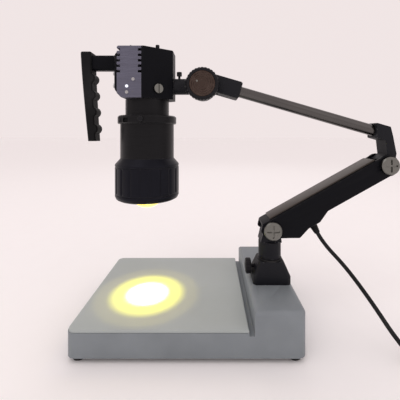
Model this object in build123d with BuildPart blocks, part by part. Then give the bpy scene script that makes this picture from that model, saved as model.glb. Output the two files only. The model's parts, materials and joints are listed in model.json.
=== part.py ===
from build123d import *
import os
from math import asin, cos, pi, radians, sin, tan

# Bench viewing stand: a lit optical head on a two-link arm over a flat stage.
# Millimetres. Origin: middle of the base in plan, at the height of the stage's top face.
# +X towards the arm's post, +Y to the back, +Z up.

# ---------------------------------------------------------------- driving sizes
# base
base_width = 250.0
base_depth = 176.0
base_corner = 9.0
housing_height = 28.5  # stage top down to the housing's lower edge
base_wall = 3.0
deck_thickness = 6.0
stage_thickness = 3.0
stage_inset = 0.8
rail_width = 54.0
rail_rise = 19.5
rail_round = 5.0
groove_width = 6.0
groove_depth = 3.0
cover_thickness = 2.0
foot_diameter = 15.0
foot_height = 5.5
foot_inset = 11.0
ballast_thickness = 8.0
ballast_width = 120.0
ballast_depth = 110.0

# bracket and post
arm_y = -18.0  # the arm, the head and the post share this vertical plane
post_offset = 2.0  # post axis from the middle of the rail
bracket_width = 46.0
bracket_depth = 36.0
bracket_skirt = 9.0
bracket_height = 26.0
bracket_top_width = 31.0
bracket_top_depth = 29.0
bush_wall = 2.0
journal_diameter = 16.0
post_diameter = 28.0
collar_thickness = 2.0
clamp_knob_diameter = 19.0
clamp_knob_height = 16.0  # axis above the rail's top
clamp_knob_length = 7.0

# lower arm
hinge_offset = 0.7  # shoulder bolt from the post's axis, along X
hinge_height = 39.0  # shoulder bolt above the bracket's top
arm_length = 163.0
arm_angle = 29.2
arm_width = 30.0
arm_wall = 3.0
arm_top = 12.6  # shell's top above the line through both bolts
arm_under = 12.4
arm_end_radius = 13.2
strip_thickness = 2.0
strip_width = 25.0
belly_depth = 24.5
belly_start = 16.0
belly_end = 47.0
gland_pad = 19.6  # the flat under the belly that the cord leaves, below the line through both bolts
tongue_width = 20.0
washer_thickness = 1.0
bolt_diameter = 8.0
bolt_head_diameter = 22.0
bolt_head_height = 5.0
bolt_bore_clearance = 0.05  # radial, in what turns on a bolt

# elbow bracket and rod
rod_angle = 16.2
rod_diameter = 14.0
rod_wall = 1.5
rod_offset = 38.2  # rod axis from the elbow bolt, square to the rod
rod_reach = 246.4  # elbow bolt to tilt bolt, along the rod
tilt_offset = 7.0  # tilt bolt below the rod's axis
rod_grip = 20.0  # how far the rod goes into each socket
socket_reach = 12.5  # the bracket's socket, from the elbow bolt towards the head
socket_wall = 2.0
connector_height = 21.0
connector_length = 47.0  # tilt bolt to the connector's outer end
fork_width = 26.0
fork_ear = 6.5
ear_radius = 17.0
knob_diameter = 40.0
knob_length = 13.0
knob_cap_diameter = 31.0
knob_cap_thickness = 1.6
side_gap = 0.3  # between faces of two bodies that turn past each other

# head
head_reach = 70.4  # tilt bolt to the optical axis
body_above = 42.5  # body's top above the tilt bolt
body_below = 17.5
sink_width = 28.5
body_half_depth = 33.0
housing_length = 34.0
housing_end_half = 12.5
housing_wall = 2.5
fin_pitch = 6.3
fin_slot = 3.0
fin_depth = 4.0
fin_count = 5
collar_diameter = 20.0
collar_length = 15.0
shaft_diameter = 12.0
neck_diameter = 54.0
neck_wall = 4.0
neck_length = 20.0
rim_diameter = 72.6
rim_height = 10.0
barrel_diameter = 66.4
barrel_length = 42.0
flare_height = 7.6
ring_diameter = 79.0
ring_length = 44.4
spigot_diameter = 60.0
barrel_bore = 52.0
run_clearance = 0.05  # radial, between a shaft and what it turns or slides in
lens_diameter = 44.0
lens_travel = 6.0
dome_radius = 22.8
dome_crown = 18.0

# handle
plate_thickness = 8.0
plate_half_depth = 20.0
bridge_length = 32.0
bridge_height = 20.0
handle_thickness = 17.0
grip_length = 112.0
grip_top_width = 13.5
grip_bottom_width = 9.5
grip_lean = 9.5  # how far the grip's outer edge comes in at its foot
bump_count = 4
bump_radius = 6.5
bump_height = 3.6
grip_edge = 1.4

# cord
cord_diameter = 5.0
gland_length = 16.0
coil_turn_radius = 27.0
coil_band = 20.0
coil_height = 10.0
plug_diameter = 10.0
plug_length = 26.0

# ---------------------------------------------------------------- derived places
housing_bottom = -housing_height
floor_z = housing_bottom - foot_height
deck_z = -stage_thickness
rail_left = base_width / 2 - rail_width
rail_x = base_width / 2 - rail_width / 2
stage_right = rail_left - groove_width
rail_top = rail_rise
cover_top = housing_bottom + cover_thickness

post_x = rail_x + post_offset
bracket_top = rail_top + bracket_height
hinge_x = post_x + hinge_offset
hinge_z = bracket_top + hinge_height
arm_cos = cos(radians(arm_angle))
arm_sin = sin(radians(arm_angle))
arm_inner = arm_width - 2 * arm_wall
tongue_thickness = arm_inner - 2 * washer_thickness
tongue_radius = tongue_width / 2
elbow_x = hinge_x + arm_length * arm_cos
elbow_z = hinge_z + arm_length * arm_sin

rod_cos = cos(radians(rod_angle))
rod_sin = sin(radians(rod_angle))
tilt_rise = rod_offset - tilt_offset
tilt_x = elbow_x - rod_reach * rod_cos + tilt_rise * rod_sin
tilt_z = elbow_z + rod_reach * rod_sin + tilt_rise * rod_cos
head_x = tilt_x - head_reach
body_top = tilt_z + body_above
body_bottom = tilt_z - body_below
sink_left = head_x - sink_width
housing_right = head_x + housing_length
neck_bottom = body_bottom - neck_length
rim_bottom = neck_bottom - rim_height
barrel_bottom = rim_bottom - barrel_length
ring_top = barrel_bottom - flare_height
ring_bottom = ring_top - ring_length

post_axis = Axis((post_x, arm_y, 0), (0, 0, 1))
head_axis = Axis((head_x, arm_y, 0), (0, 0, 1))
front = (0, -1, 0)
base_plane = Plane(origin=(0, 0, housing_bottom))
post_plane = Plane(origin=(post_x, arm_y, 0), x_dir=(1, 0, 0), z_dir=front)
head_plane = Plane(origin=(head_x, arm_y, 0), x_dir=(1, 0, 0), z_dir=front)
# local x along the arm, local y away from its underside
arm_plane = Plane(origin=(hinge_x, arm_y, hinge_z), x_dir=(arm_cos, 0, arm_sin), z_dir=front)
# local x from the elbow towards the head, local y up, square to the rod
rod_plane = Plane(origin=(elbow_x, arm_y, elbow_z), x_dir=(-rod_cos, 0, rod_sin), z_dir=(0, 1, 0))

os.makedirs("parts", exist_ok=True)


def bolt_plane(x, z, y):
    """A plane across a bolt that lies along Y, facing the front."""
    return Plane(origin=(x, y, z), x_dir=(1, 0, 0), z_dir=front)


def base_outline(inset):
    """The base's rounded plan, drawn inside an open sketch."""
    RectangleRounded(base_width - 2 * inset, base_depth - 2 * inset, base_corner - inset)


# ---------------------------------------------------------------- base
boss_y = base_depth / 2 - 14
deck_bosses = [(x, sy * boss_y) for x in (-base_width / 2 + 30, -8) for sy in (-1, 1)]
rail_bosses = [(rail_x, sy * boss_y) for sy in (-1, 1)]
boss_points = deck_bosses + rail_bosses
ceiling_z = deck_z - deck_thickness
bracket_screw_points = [
    (post_x + sx * (bracket_width / 2 - 6), arm_y + sy * (bracket_depth / 2 - 6))
    for sx in (-1, 1)
    for sy in (-1, 1)
]
bracket_screw_radius = 2.0

with BuildPart() as base_housing:
    with BuildSketch(base_plane):
        base_outline(0)
    extrude(amount=deck_z - housing_bottom)
    with BuildSketch(Plane.XY.offset(deck_z)):
        base_outline(0)
        with Locations((rail_x, 0)):
            Rectangle(rail_width, base_depth, mode=Mode.INTERSECT)
    extrude(amount=rail_top - deck_z)
    fillet(base_housing.faces().sort_by(Axis.Z)[-1].edges(), rail_round)
    with BuildSketch(Plane.XY.offset(deck_z)):
        with Locations(((stage_right + rail_left) / 2, 0)):
            Rectangle(groove_width, base_depth)
    extrude(amount=-groove_depth, mode=Mode.SUBTRACT)
    # hollow from below, deeper under the rail
    with BuildSketch(base_plane):
        base_outline(base_wall)
    extrude(amount=ceiling_z - housing_bottom, mode=Mode.SUBTRACT)
    with BuildSketch(Plane.XY.offset(ceiling_z)):
        with Locations((rail_x, 0)):
            Rectangle(rail_width - 2 * base_wall, base_depth - 2 * base_wall - base_corner)
    extrude(amount=rail_top - 2 * base_wall - ceiling_z, mode=Mode.SUBTRACT)
    # bosses that take the cover's screws
    for points, boss_top in ((deck_bosses, ceiling_z), (rail_bosses, rail_top - 2 * base_wall)):
        with BuildSketch(Plane.XY.offset(cover_top)):
            with Locations(*points):
                Circle(4.5)
        extrude(amount=boss_top - cover_top + 1)
    with BuildSketch(Plane.XY.offset(cover_top)):
        with Locations(*boss_points):
            Circle(1.5)
    extrude(amount=10, mode=Mode.SUBTRACT)
    # clearance holes for the bracket's screws
    with BuildSketch(Plane.XY.offset(rail_top - 2 * base_wall)):
        with Locations(*bracket_screw_points):
            Circle(bracket_screw_radius)
    extrude(amount=2 * base_wall, mode=Mode.SUBTRACT)
base_housing.part.label = "base_housing"
export_step(base_housing.part, "parts/base_housing.step")

with BuildPart() as stage_plate:
    with BuildSketch(Plane.XY.offset(deck_z)):
        base_outline(stage_inset)
        with Locations(((stage_right - base_width / 2) / 2, 0)):
            Rectangle(stage_right + base_width / 2, base_depth, mode=Mode.INTERSECT)
    extrude(amount=stage_thickness)
    fillet(stage_plate.faces().sort_by(Axis.Z)[-1].edges(), 1.2)
stage_plate.part.label = "stage_plate"
export_step(stage_plate.part, "parts/stage_plate.step")

cover_inset = base_wall + 0.3
foot_points = [
    (sx * (base_width / 2 - foot_inset), sy * (base_depth / 2 - foot_inset)) for sx in (-1, 1) for sy in (-1, 1)
]
foot_stem_radius = 3.0

with BuildPart() as bottom_cover:
    with BuildSketch(base_plane):
        base_outline(cover_inset)
        with Locations(*foot_points):
            Circle(foot_stem_radius, mode=Mode.SUBTRACT)
        with Locations(*boss_points):
            Circle(1.7, mode=Mode.SUBTRACT)
    extrude(amount=cover_thickness)
bottom_cover.part.label = "bottom_cover"
export_step(bottom_cover.part, "parts/bottom_cover.step")

with BuildPart() as rubber_feet:
    with BuildSketch(Plane.XY.offset(floor_z)):
        with Locations(*foot_points):
            Circle(foot_diameter / 2)
    extrude(amount=foot_height)
    with BuildSketch(base_plane):
        with Locations(*foot_points):
            Circle(foot_stem_radius)
    extrude(amount=cover_thickness + 1.5)
    chamfer(rubber_feet.faces().filter_by(Axis.Z).group_by(Axis.Z)[0].edges(), 0.8)
rubber_feet.part.label = "rubber_feet"
export_step(rubber_feet.part, "parts/rubber_feet.step")

with BuildPart() as cover_screws:
    with BuildSketch(Plane.XY.offset(housing_bottom - 1.6)):
        with Locations(*boss_points):
            Circle(2.8)
    extrude(amount=1.6)
    with BuildSketch(base_plane):
        with Locations(*boss_points):
            Circle(1.5)
    extrude(amount=8)
cover_screws.part.label = "cover_screws"
export_step(cover_screws.part, "parts/cover_screws.step")

with BuildPart() as ballast_plate:
    with BuildSketch(Plane.XY.offset(cover_top)):
        with Locations((-base_width / 2 + base_wall + 12 + ballast_width / 2, 0)):
            RectangleRounded(ballast_width, ballast_depth, 6)
    extrude(amount=ballast_thickness)
ballast_plate.part.label = "ballast_plate"
export_step(ballast_plate.part, "parts/ballast_plate.step")

# ---------------------------------------------------------------- bracket
bush_radius = journal_diameter / 2 + bush_wall
washer_radius = journal_diameter / 2 + 4.5
pocket_height = 9.0  # room under the journal for its washer and screw
clamp_z = rail_top + clamp_knob_height
clamp_plane = Plane(origin=(post_x, arm_y, clamp_z), x_dir=(0, 1, 0), z_dir=(-1, 0, 0))
clamp_thread_radius = 2.5

with BuildPart() as arm_bracket:
    with BuildSketch(Plane(origin=(post_x, arm_y, rail_top))):
        RectangleRounded(bracket_width, bracket_depth, 5)
    extrude(amount=bracket_skirt)
    with BuildSketch(Plane(origin=(post_x, arm_y, rail_top + bracket_skirt))):
        RectangleRounded(bracket_width, bracket_depth, 5)
    with BuildSketch(Plane(origin=(post_x, arm_y, bracket_top))):
        RectangleRounded(bracket_top_width, bracket_top_depth, 5)
    loft()
    with BuildSketch(Plane(origin=(post_x, arm_y, rail_top))):
        Circle(bush_radius)
    extrude(amount=bracket_height, mode=Mode.SUBTRACT)
    with BuildSketch(Plane(origin=(post_x, arm_y, rail_top))):
        Circle(washer_radius + 1)
    extrude(amount=pocket_height, mode=Mode.SUBTRACT)
    with BuildSketch(Plane.XY.offset(rail_top)):
        with Locations(*bracket_screw_points):
            Circle(bracket_screw_radius)
    extrude(amount=7, mode=Mode.SUBTRACT)
    with BuildSketch(clamp_plane):
        Circle(clamp_thread_radius + run_clearance)
    extrude(amount=bracket_width, mode=Mode.SUBTRACT)
arm_bracket.part.label = "arm_bracket"
export_step(arm_bracket.part, "parts/arm_bracket.step")

with BuildPart() as bracket_screws:
    with BuildSketch(Plane.XY.offset(rail_top - 2 * base_wall - 2.4)):
        with Locations(*bracket_screw_points):
            Circle(3.5)
    extrude(amount=2.4)
    with BuildSketch(Plane.XY.offset(rail_top - 2 * base_wall)):
        with Locations(*bracket_screw_points):
            Circle(bracket_screw_radius)
    extrude(amount=2 * base_wall + 6)
bracket_screws.part.label = "bracket_screws"
export_step(bracket_screws.part, "parts/bracket_screws.step")

with BuildPart() as swivel_bush:
    with BuildSketch(Plane(origin=(post_x, arm_y, rail_top + pocket_height))):
        Circle(bush_radius)
        Circle(journal_diameter / 2 + run_clearance, mode=Mode.SUBTRACT)
    extrude(amount=bracket_height - pocket_height)
    with BuildSketch(clamp_plane):
        Circle(clamp_thread_radius + run_clearance)
    extrude(amount=bracket_width, mode=Mode.SUBTRACT)
swivel_bush.part.label = "swivel_bush"
export_step(swivel_bush.part, "parts/swivel_bush.step")

knob_face = bracket_width / 2 + 1.0  # the knob's inner face from the post's axis
with BuildPart() as clamp_knob:
    with BuildSketch(clamp_plane.offset(knob_face)):
        Circle(clamp_knob_diameter / 2)
        with PolarLocations(clamp_knob_diameter / 2 + 0.6, 12):
            Circle(1.5, mode=Mode.SUBTRACT)
    extrude(amount=clamp_knob_length)
    fillet(clamp_knob.faces().sort_by(Axis.X)[0].outer_wire().edges(), 0.5)
    with BuildSketch(clamp_plane.offset(journal_diameter / 2 + 0.2)):
        Circle(clamp_thread_radius)
    extrude(amount=knob_face - journal_diameter / 2)
clamp_knob.part.label = "clamp_knob"
export_step(clamp_knob.part, "parts/clamp_knob.step")

# ---------------------------------------------------------------- post
post_shoulder = hinge_z - tongue_radius - 5.5  # where the round post turns into a flat tongue
journal_foot = rail_top + pocket_height - 0.3
with BuildPart() as swivel_post:
    with BuildSketch(Plane(origin=(post_x, arm_y, bracket_top + collar_thickness))):
        Circle(post_diameter / 2)
    extrude(amount=post_shoulder - bracket_top - collar_thickness)
    chamfer(swivel_post.edges(), 1.0)
    with BuildSketch(Plane(origin=(post_x, arm_y, journal_foot))):
        Circle(journal_diameter / 2)
    extrude(amount=bracket_top + collar_thickness - journal_foot + 1)
    # the tongue that the lower arm straddles
    with BuildSketch(bolt_plane(hinge_x, hinge_z, arm_y)):
        Circle(tongue_radius)
        with BuildLine():
            Polyline(
                (-tongue_radius, 0),
                (tongue_radius, 0),
                (post_x - hinge_x + post_diameter / 2 - 1, post_shoulder - hinge_z - 0.5),
                (post_x - hinge_x - post_diameter / 2 + 1, post_shoulder - hinge_z - 0.5),
                close=True,
            )
        make_face()
    extrude(amount=tongue_thickness / 2, both=True)
    with BuildSketch(bolt_plane(hinge_x, hinge_z, arm_y)):
        Circle(bolt_diameter / 2 + bolt_bore_clearance)
    extrude(amount=tongue_thickness, both=True, mode=Mode.SUBTRACT)
    # thread for the screw that keeps the post in its bush
    with BuildSketch(Plane(origin=(post_x, arm_y, journal_foot))):
        Circle(2.5)
    extrude(amount=12, mode=Mode.SUBTRACT)
swivel_post.part.label = "swivel_post"
export_step(swivel_post.part, "parts/swivel_post.step")

with BuildPart() as post_collar:
    with BuildSketch(Plane(origin=(post_x, arm_y, bracket_top))):
        Circle(post_diameter / 2 + 1)
        Circle(journal_diameter / 2 + 0.2, mode=Mode.SUBTRACT)
    extrude(amount=collar_thickness)
    chamfer(post_collar.faces().sort_by(Axis.Z)[-1].outer_wire().edges(), 0.5)
post_collar.part.label = "post_collar"
export_step(post_collar.part, "parts/post_collar.step")

with BuildPart() as post_washer:
    with BuildSketch(Plane(origin=(post_x, arm_y, journal_foot - 2))):
        Circle(washer_radius)
        Circle(2.6, mode=Mode.SUBTRACT)
    extrude(amount=2)
post_washer.part.label = "post_washer"
export_step(post_washer.part, "parts/post_washer.step")

with BuildPart() as post_screw:
    with BuildSketch(Plane(origin=(post_x, arm_y, journal_foot - 6))):
        Circle(4.5)
        RegularPolygon(2.3, 6, mode=Mode.SUBTRACT)
    extrude(amount=4)
    with BuildSketch(Plane(origin=(post_x, arm_y, journal_foot - 3.5))):
        Circle(2.5)
    extrude(amount=14)
post_screw.part.label = "post_screw"
export_step(post_screw.part, "parts/post_screw.step")

# ---------------------------------------------------------------- lower arm
arm_foot = [
    (-6.5, arm_top),
    (arm_length - 2, arm_top),
    (arm_length + 4, -arm_under),
    (belly_end + 24, -arm_under),
    (belly_end + 9, -gland_pad),
    (belly_end - 7, -gland_pad),
    (belly_start + 9, -belly_depth),
    (belly_start, -belly_depth + 5),
    (-6.0, -8.0),
    (-13.2, 5.0),
]

with BuildPart() as arm_shell:
    with BuildSketch(arm_plane) as arm_side:
        with BuildLine():
            Polyline(*arm_foot, close=True)
        make_face()
        fillet(arm_side.vertices(), 2.5)
        Circle(tongue_radius - 0.5)
        with Locations((arm_length, 0)):
            Circle(arm_end_radius)
    extrude(amount=arm_width / 2, both=True)
    chamfer(arm_shell.faces().sort_by(Axis.Y)[-1].edges(), 0.8)
    chamfer(arm_shell.faces().sort_by(Axis.Y)[0].edges(), 0.8)
    with BuildSketch(arm_plane):
        with BuildLine():
            Polyline(*arm_foot, close=True)
        make_face()
        offset(amount=-arm_wall)
    extrude(amount=arm_inner / 2, both=True, mode=Mode.SUBTRACT)
    # the shoulder end is open below for the post's tongue, the elbow end is an open fork
    with BuildSketch(arm_plane):
        with Locations((belly_start - 60, tongue_radius + 1.2 - 60)):
            Rectangle(60, 60, align=(Align.MIN, Align.MIN))
        with Locations((arm_length - tongue_radius - 0.5, -40)):
            Rectangle(60, 80, align=(Align.MIN, Align.MIN))
    extrude(amount=arm_inner / 2, both=True, mode=Mode.SUBTRACT)
    with BuildSketch(arm_plane):
        Circle(bolt_diameter / 2)
        with Locations((arm_length, 0)):
            Circle(bolt_diameter / 2)
    extrude(amount=arm_width, both=True, mode=Mode.SUBTRACT)
    # threaded seat for the cord's gland
    with BuildSketch(Plane(origin=arm_plane.from_local_coords(Vector(belly_end + 2, 0, 0)), z_dir=(arm_sin, 0, -arm_cos))):
        Circle(5)
    extrude(amount=40, mode=Mode.SUBTRACT)
arm_shell.part.label = "arm_shell"
export_step(arm_shell.part, "parts/arm_shell.step")

strip_start = 4.0
strip_end = arm_length - tongue_radius - 0.5
with BuildPart() as arm_strip:
    with BuildSketch(arm_plane):
        with Locations((strip_start, arm_top)):
            Rectangle(strip_end - strip_start, strip_thickness, align=(Align.MIN, Align.MIN))
    extrude(amount=strip_width / 2, both=True)
    chamfer(arm_strip.edges().filter_by(Axis.Y), 0.6)
arm_strip.part.label = "arm_strip"
export_step(arm_strip.part, "parts/arm_strip.step")


# the shoulder and the elbow share one kind of bolt, nut and friction washer
nut_thickness = 5.0
nut_radius = bolt_diameter * 0.95
bolt_slot_length = bolt_head_diameter * 0.72

with BuildPart() as pivot_bolts:
    with BuildSketch(arm_plane.offset(arm_width / 2)):
        with Locations((0, 0), (arm_length, 0)):
            Circle(bolt_head_diameter / 2)
    extrude(amount=bolt_head_height)
    chamfer(pivot_bolts.faces().group_by(Axis.Y)[0].edges(), 1.0)
    with BuildSketch(arm_plane.offset(arm_width / 2 + bolt_head_height)):
        with Locations((0, 0), (arm_length, 0)):
            SlotOverall(bolt_slot_length, 2.4, rotation=-arm_angle)
            SlotOverall(bolt_slot_length, 2.4, rotation=90 - arm_angle)
    extrude(amount=-1.6, mode=Mode.SUBTRACT)
    with BuildSketch(arm_plane.offset(-arm_width / 2 - nut_thickness - 1)):
        with Locations((0, 0), (arm_length, 0)):
            Circle(bolt_diameter / 2)
    extrude(amount=arm_width + nut_thickness + 2)
pivot_bolts.part.label = "pivot_bolts"
export_step(pivot_bolts.part, "parts/pivot_bolts.step")

with BuildPart() as pivot_nuts:
    with BuildSketch(arm_plane.offset(-arm_width / 2)):
        with Locations((0, 0), (arm_length, 0)):
            RegularPolygon(nut_radius, 6)
            Circle(bolt_diameter / 2, mode=Mode.SUBTRACT)
    extrude(amount=-nut_thickness)
pivot_nuts.part.label = "pivot_nuts"
export_step(pivot_nuts.part, "parts/pivot_nuts.step")

with BuildPart() as friction_washers:
    for side in (-1, 1):
        with BuildSketch(arm_plane.offset(side * (tongue_thickness + washer_thickness) / 2)):
            with Locations((0, 0), (arm_length, 0)):
                Circle(tongue_radius - 1.5)
                Circle(bolt_diameter / 2, mode=Mode.SUBTRACT)
        extrude(amount=washer_thickness / 2, both=True)
friction_washers.part.label = "friction_washers"
export_step(friction_washers.part, "parts/friction_washers.step")

# lamp driver board, held by its long edges between the arm's side walls
board_length = 60.0
with BuildPart() as driver_board:
    with BuildSketch(arm_plane):
        with Locations((belly_end + 18, -2.0)):
            Rectangle(board_length, 1.6, align=(Align.MIN, Align.CENTER))
            with Locations((10, 0.8)):
                Rectangle(14, 9, align=(Align.MIN, Align.MIN))
            with Locations((32, 0.8)):
                Rectangle(10, 6, align=(Align.MIN, Align.MIN))
    extrude(amount=arm_inner / 2, both=True)
driver_board.part.label = "driver_board"
export_step(driver_board.part, "parts/driver_board.step")

# ---------------------------------------------------------------- elbow bracket and rod
rod_start = rod_offset * tan(radians(rod_angle)) - 2.0  # the rod stops inside the bracket
rod_end = rod_reach - connector_length + rod_grip

# the rod's axis above the elbow bolt, for a place along X
def rod_line(x):
    return (rod_offset - x * rod_sin) / rod_cos


socket_half = (rod_diameter / 2 + socket_wall) / rod_cos
with BuildPart() as elbow_bracket:
    with BuildSketch(bolt_plane(elbow_x, elbow_z, arm_y)) as elbow_side:
        with BuildLine():
            Polyline(
                (-tongue_radius + 1.5, 7.0),
                (0.5, 13.5),
                (-1.5, rod_line(-1.5) - socket_half),
                (-socket_reach, rod_line(-socket_reach) - socket_half),
                (-socket_reach, rod_line(-socket_reach) + socket_half),
                (5.0, rod_line(5.0) + socket_half),
                (8.0, rod_line(5.0) - 3.0),
                (12.0, 14.5),
                (tongue_radius, 2.0),
                (0, -1.0),
                close=True,
            )
        make_face()
        fillet(elbow_side.vertices(), 1.0)
        Circle(tongue_radius - 1)
    extrude(amount=tongue_thickness / 2, both=True)
    # socket along the rod
    socket_face = Plane(
        origin=rod_plane.from_local_coords((rod_start - 0.5, rod_offset, 0)), z_dir=(-rod_cos, 0, rod_sin)
    )
    with BuildSketch(socket_face):
        Circle(rod_diameter / 2)
    extrude(amount=60, mode=Mode.SUBTRACT)
    with BuildSketch(bolt_plane(elbow_x, elbow_z, arm_y)):
        Circle(bolt_diameter / 2 + bolt_bore_clearance)
    extrude(amount=arm_width, both=True, mode=Mode.SUBTRACT)
elbow_bracket.part.label = "elbow_bracket"
export_step(elbow_bracket.part, "parts/elbow_bracket.step")

with BuildPart() as upper_rod:
    with BuildSketch(socket_face.offset(0.5)):
        Circle(rod_diameter / 2)
        Circle(rod_diameter / 2 - rod_wall, mode=Mode.SUBTRACT)
    extrude(amount=rod_end - rod_start)
upper_rod.part.label = "upper_rod"
export_step(upper_rod.part, "parts/upper_rod.step")

# the fork at the rod's end that holds the head's lug
tilt_plane = Plane(
    origin=rod_plane.from_local_coords((rod_reach, tilt_rise, 0)), x_dir=(rod_cos, 0, -rod_sin), z_dir=front
)
lug_thickness = fork_width - 2 * fork_ear - 2 * side_gap
lug_room = ear_radius + 4.0
with BuildPart() as rod_connector:
    with BuildSketch(tilt_plane) as connector_side:
        with Locations((0, tilt_offset)):
            Rectangle(connector_length, connector_height, align=(Align.MIN, Align.CENTER))
        fillet(connector_side.vertices(), 2.5)
        Circle(ear_radius)
    extrude(amount=fork_width / 2, both=True)
    chamfer(rod_connector.faces().sort_by(Axis.Y)[-1].edges(), 0.8)
    chamfer(rod_connector.faces().sort_by(Axis.Y)[0].edges(), 0.8)
    with BuildSketch(tilt_plane):
        with Locations((lug_room, 0)):
            Rectangle(80, 80, align=(Align.MAX, Align.CENTER))
    extrude(amount=lug_thickness / 2 + side_gap, both=True, mode=Mode.SUBTRACT)
    with BuildSketch(tilt_plane):
        Circle(bolt_diameter / 2)
    extrude(amount=fork_width, both=True, mode=Mode.SUBTRACT)
    with BuildSketch(socket_face.offset(rod_end - rod_start + 0.5)):
        Circle(rod_diameter / 2)
    extrude(amount=-60, mode=Mode.SUBTRACT)
rod_connector.part.label = "rod_connector"
export_step(rod_connector.part, "parts/rod_connector.step")

knob_gap = 0.4
knob_back = fork_width / 2 + knob_gap
with BuildPart() as tilt_bolt:
    with BuildSketch(tilt_plane.offset(-fork_width / 2)):
        RegularPolygon(nut_radius, 6)
    extrude(amount=-nut_thickness)
    with BuildSketch(tilt_plane.offset(-fork_width / 2)):
        Circle(bolt_diameter / 2)
    extrude(amount=fork_width + knob_length - 3)
tilt_bolt.part.label = "tilt_bolt"
export_step(tilt_bolt.part, "parts/tilt_bolt.step")

with BuildPart() as tilt_knob:
    with BuildSketch(tilt_plane.offset(knob_back)):
        Circle(knob_diameter / 2)
        with PolarLocations(knob_diameter / 2 + 0.9, 30):
            Circle(1.6, mode=Mode.SUBTRACT)
    extrude(amount=knob_length)
    with BuildSketch(tilt_plane.offset(knob_back + knob_length)):
        Circle(knob_cap_diameter / 2)
    extrude(amount=-knob_cap_thickness, mode=Mode.SUBTRACT)
    with BuildSketch(tilt_plane.offset(knob_back)):
        Circle(bolt_diameter / 2 + bolt_bore_clearance)
    extrude(amount=knob_length - 3, mode=Mode.SUBTRACT)
tilt_knob.part.label = "tilt_knob"
export_step(tilt_knob.part, "parts/tilt_knob.step")

with BuildPart() as knob_cap:
    with BuildSketch(tilt_plane.offset(knob_back + knob_length - knob_cap_thickness)):
        Circle(knob_cap_diameter / 2)
    extrude(amount=knob_cap_thickness + 0.6)
    fillet(knob_cap.faces().sort_by(Axis.Y)[0].edges(), 0.5)
knob_cap.part.label = "knob_cap"
export_step(knob_cap.part, "parts/knob_cap.step")

# ---------------------------------------------------------------- tilt lug
collar_end = housing_right + collar_length
lug_face = collar_end + side_gap
shaft_start = housing_right - housing_wall - 7.0
stub_plane = Plane(origin=(0, arm_y, tilt_z), x_dir=(0, 1, 0), z_dir=(1, 0, 0))

with BuildPart() as tilt_lug:
    with BuildSketch(bolt_plane(tilt_x, tilt_z, arm_y)):
        Circle(ear_radius)
    extrude(amount=lug_thickness / 2, both=True)
    with BuildSketch(stub_plane.offset(lug_face)):
        Circle(collar_diameter / 2)
    extrude(amount=tilt_x - ear_radius - 0.6 - lug_face)
    with BuildSketch(stub_plane.offset(tilt_x - ear_radius - 0.6)):
        Rectangle(lug_thickness, collar_diameter - 4)
    extrude(amount=8)
    with BuildSketch(stub_plane.offset(shaft_start)):
        Circle(shaft_diameter / 2)
    extrude(amount=lug_face - shaft_start + 1)
    with BuildSketch(bolt_plane(tilt_x, tilt_z, arm_y)):
        Circle(bolt_diameter / 2 + bolt_bore_clearance)
    extrude(amount=fork_width, both=True, mode=Mode.SUBTRACT)
tilt_lug.part.label = "tilt_lug"
export_step(tilt_lug.part, "parts/tilt_lug.step")

with BuildPart() as shaft_clip:
    with BuildSketch(stub_plane.offset(shaft_start + 1.5)):
        Circle(shaft_diameter / 2 + 3)
        Circle(shaft_diameter / 2, mode=Mode.SUBTRACT)
    extrude(amount=2)
shaft_clip.part.label = "shaft_clip"
export_step(shaft_clip.part, "parts/shaft_clip.step")

# ---------------------------------------------------------------- head body
led_plane_z = body_bottom + 8.0
light_hole = neck_diameter / 2 - neck_wall
fin_top = body_top - 3.0

with BuildPart() as heat_sink:
    with BuildSketch(Plane.XY.offset(body_bottom)):
        with Locations((head_x, arm_y)):
            Rectangle(sink_width, 2 * body_half_depth, align=(Align.MAX, Align.CENTER))
    extrude(amount=body_top - body_bottom)
    chamfer(heat_sink.edges().filter_by(Axis.Y).group_by(Axis.X)[0].sort_by(Axis.Z)[0], 5)
    chamfer(heat_sink.edges().filter_by(Axis.Y).group_by(Axis.X)[0].sort_by(Axis.Z)[-1], 1.5)
    # fins along both sides
    for k in range(fin_count):
        slot_top = fin_top - k * fin_pitch
        with BuildSketch(Plane.XY.offset(slot_top)):
            with Locations((head_x - sink_width / 2, arm_y)):
                Rectangle(sink_width, 2 * body_half_depth)
                Rectangle(sink_width - 2 * fin_depth, 2 * body_half_depth, mode=Mode.SUBTRACT)
        extrude(amount=-fin_slot, mode=Mode.SUBTRACT)
    # a shelf reaches into the black housing, over the lamp
    with BuildSketch(Plane.XY.offset(led_plane_z)):
        with Locations((head_x - 2, arm_y)):
            Rectangle(20, 30, align=(Align.MIN, Align.CENTER))
    extrude(amount=7)
    with BuildSketch(Plane.XY.offset(body_bottom)):
        with Locations((head_x, arm_y)):
            Circle(light_hole)
    extrude(amount=led_plane_z - body_bottom, mode=Mode.SUBTRACT)
heat_sink.part.label = "heat_sink"
export_step(heat_sink.part, "parts/heat_sink.step")

housing_plan = [
    (0, -body_half_depth),
    (3, -body_half_depth),
    (housing_length, -housing_end_half),
    (housing_length, housing_end_half),
    (3, body_half_depth),
    (0, body_half_depth),
]
screw_z = body_bottom + 11.5
taper_run = housing_length - 3
taper_rise = body_half_depth - housing_end_half
taper_length = (taper_run**2 + taper_rise**2) ** 0.5


def taper_face(side):
    """A plane on the housing's tapered face, in front (-1) or behind (1), facing outwards."""
    middle = (head_x + 3 + taper_run * 0.47, arm_y + side * (body_half_depth - taper_rise * 0.47), screw_z)
    return Plane(origin=middle, x_dir=(0, 0, 1), z_dir=(taper_rise / taper_length, side * taper_run / taper_length, 0))


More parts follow.
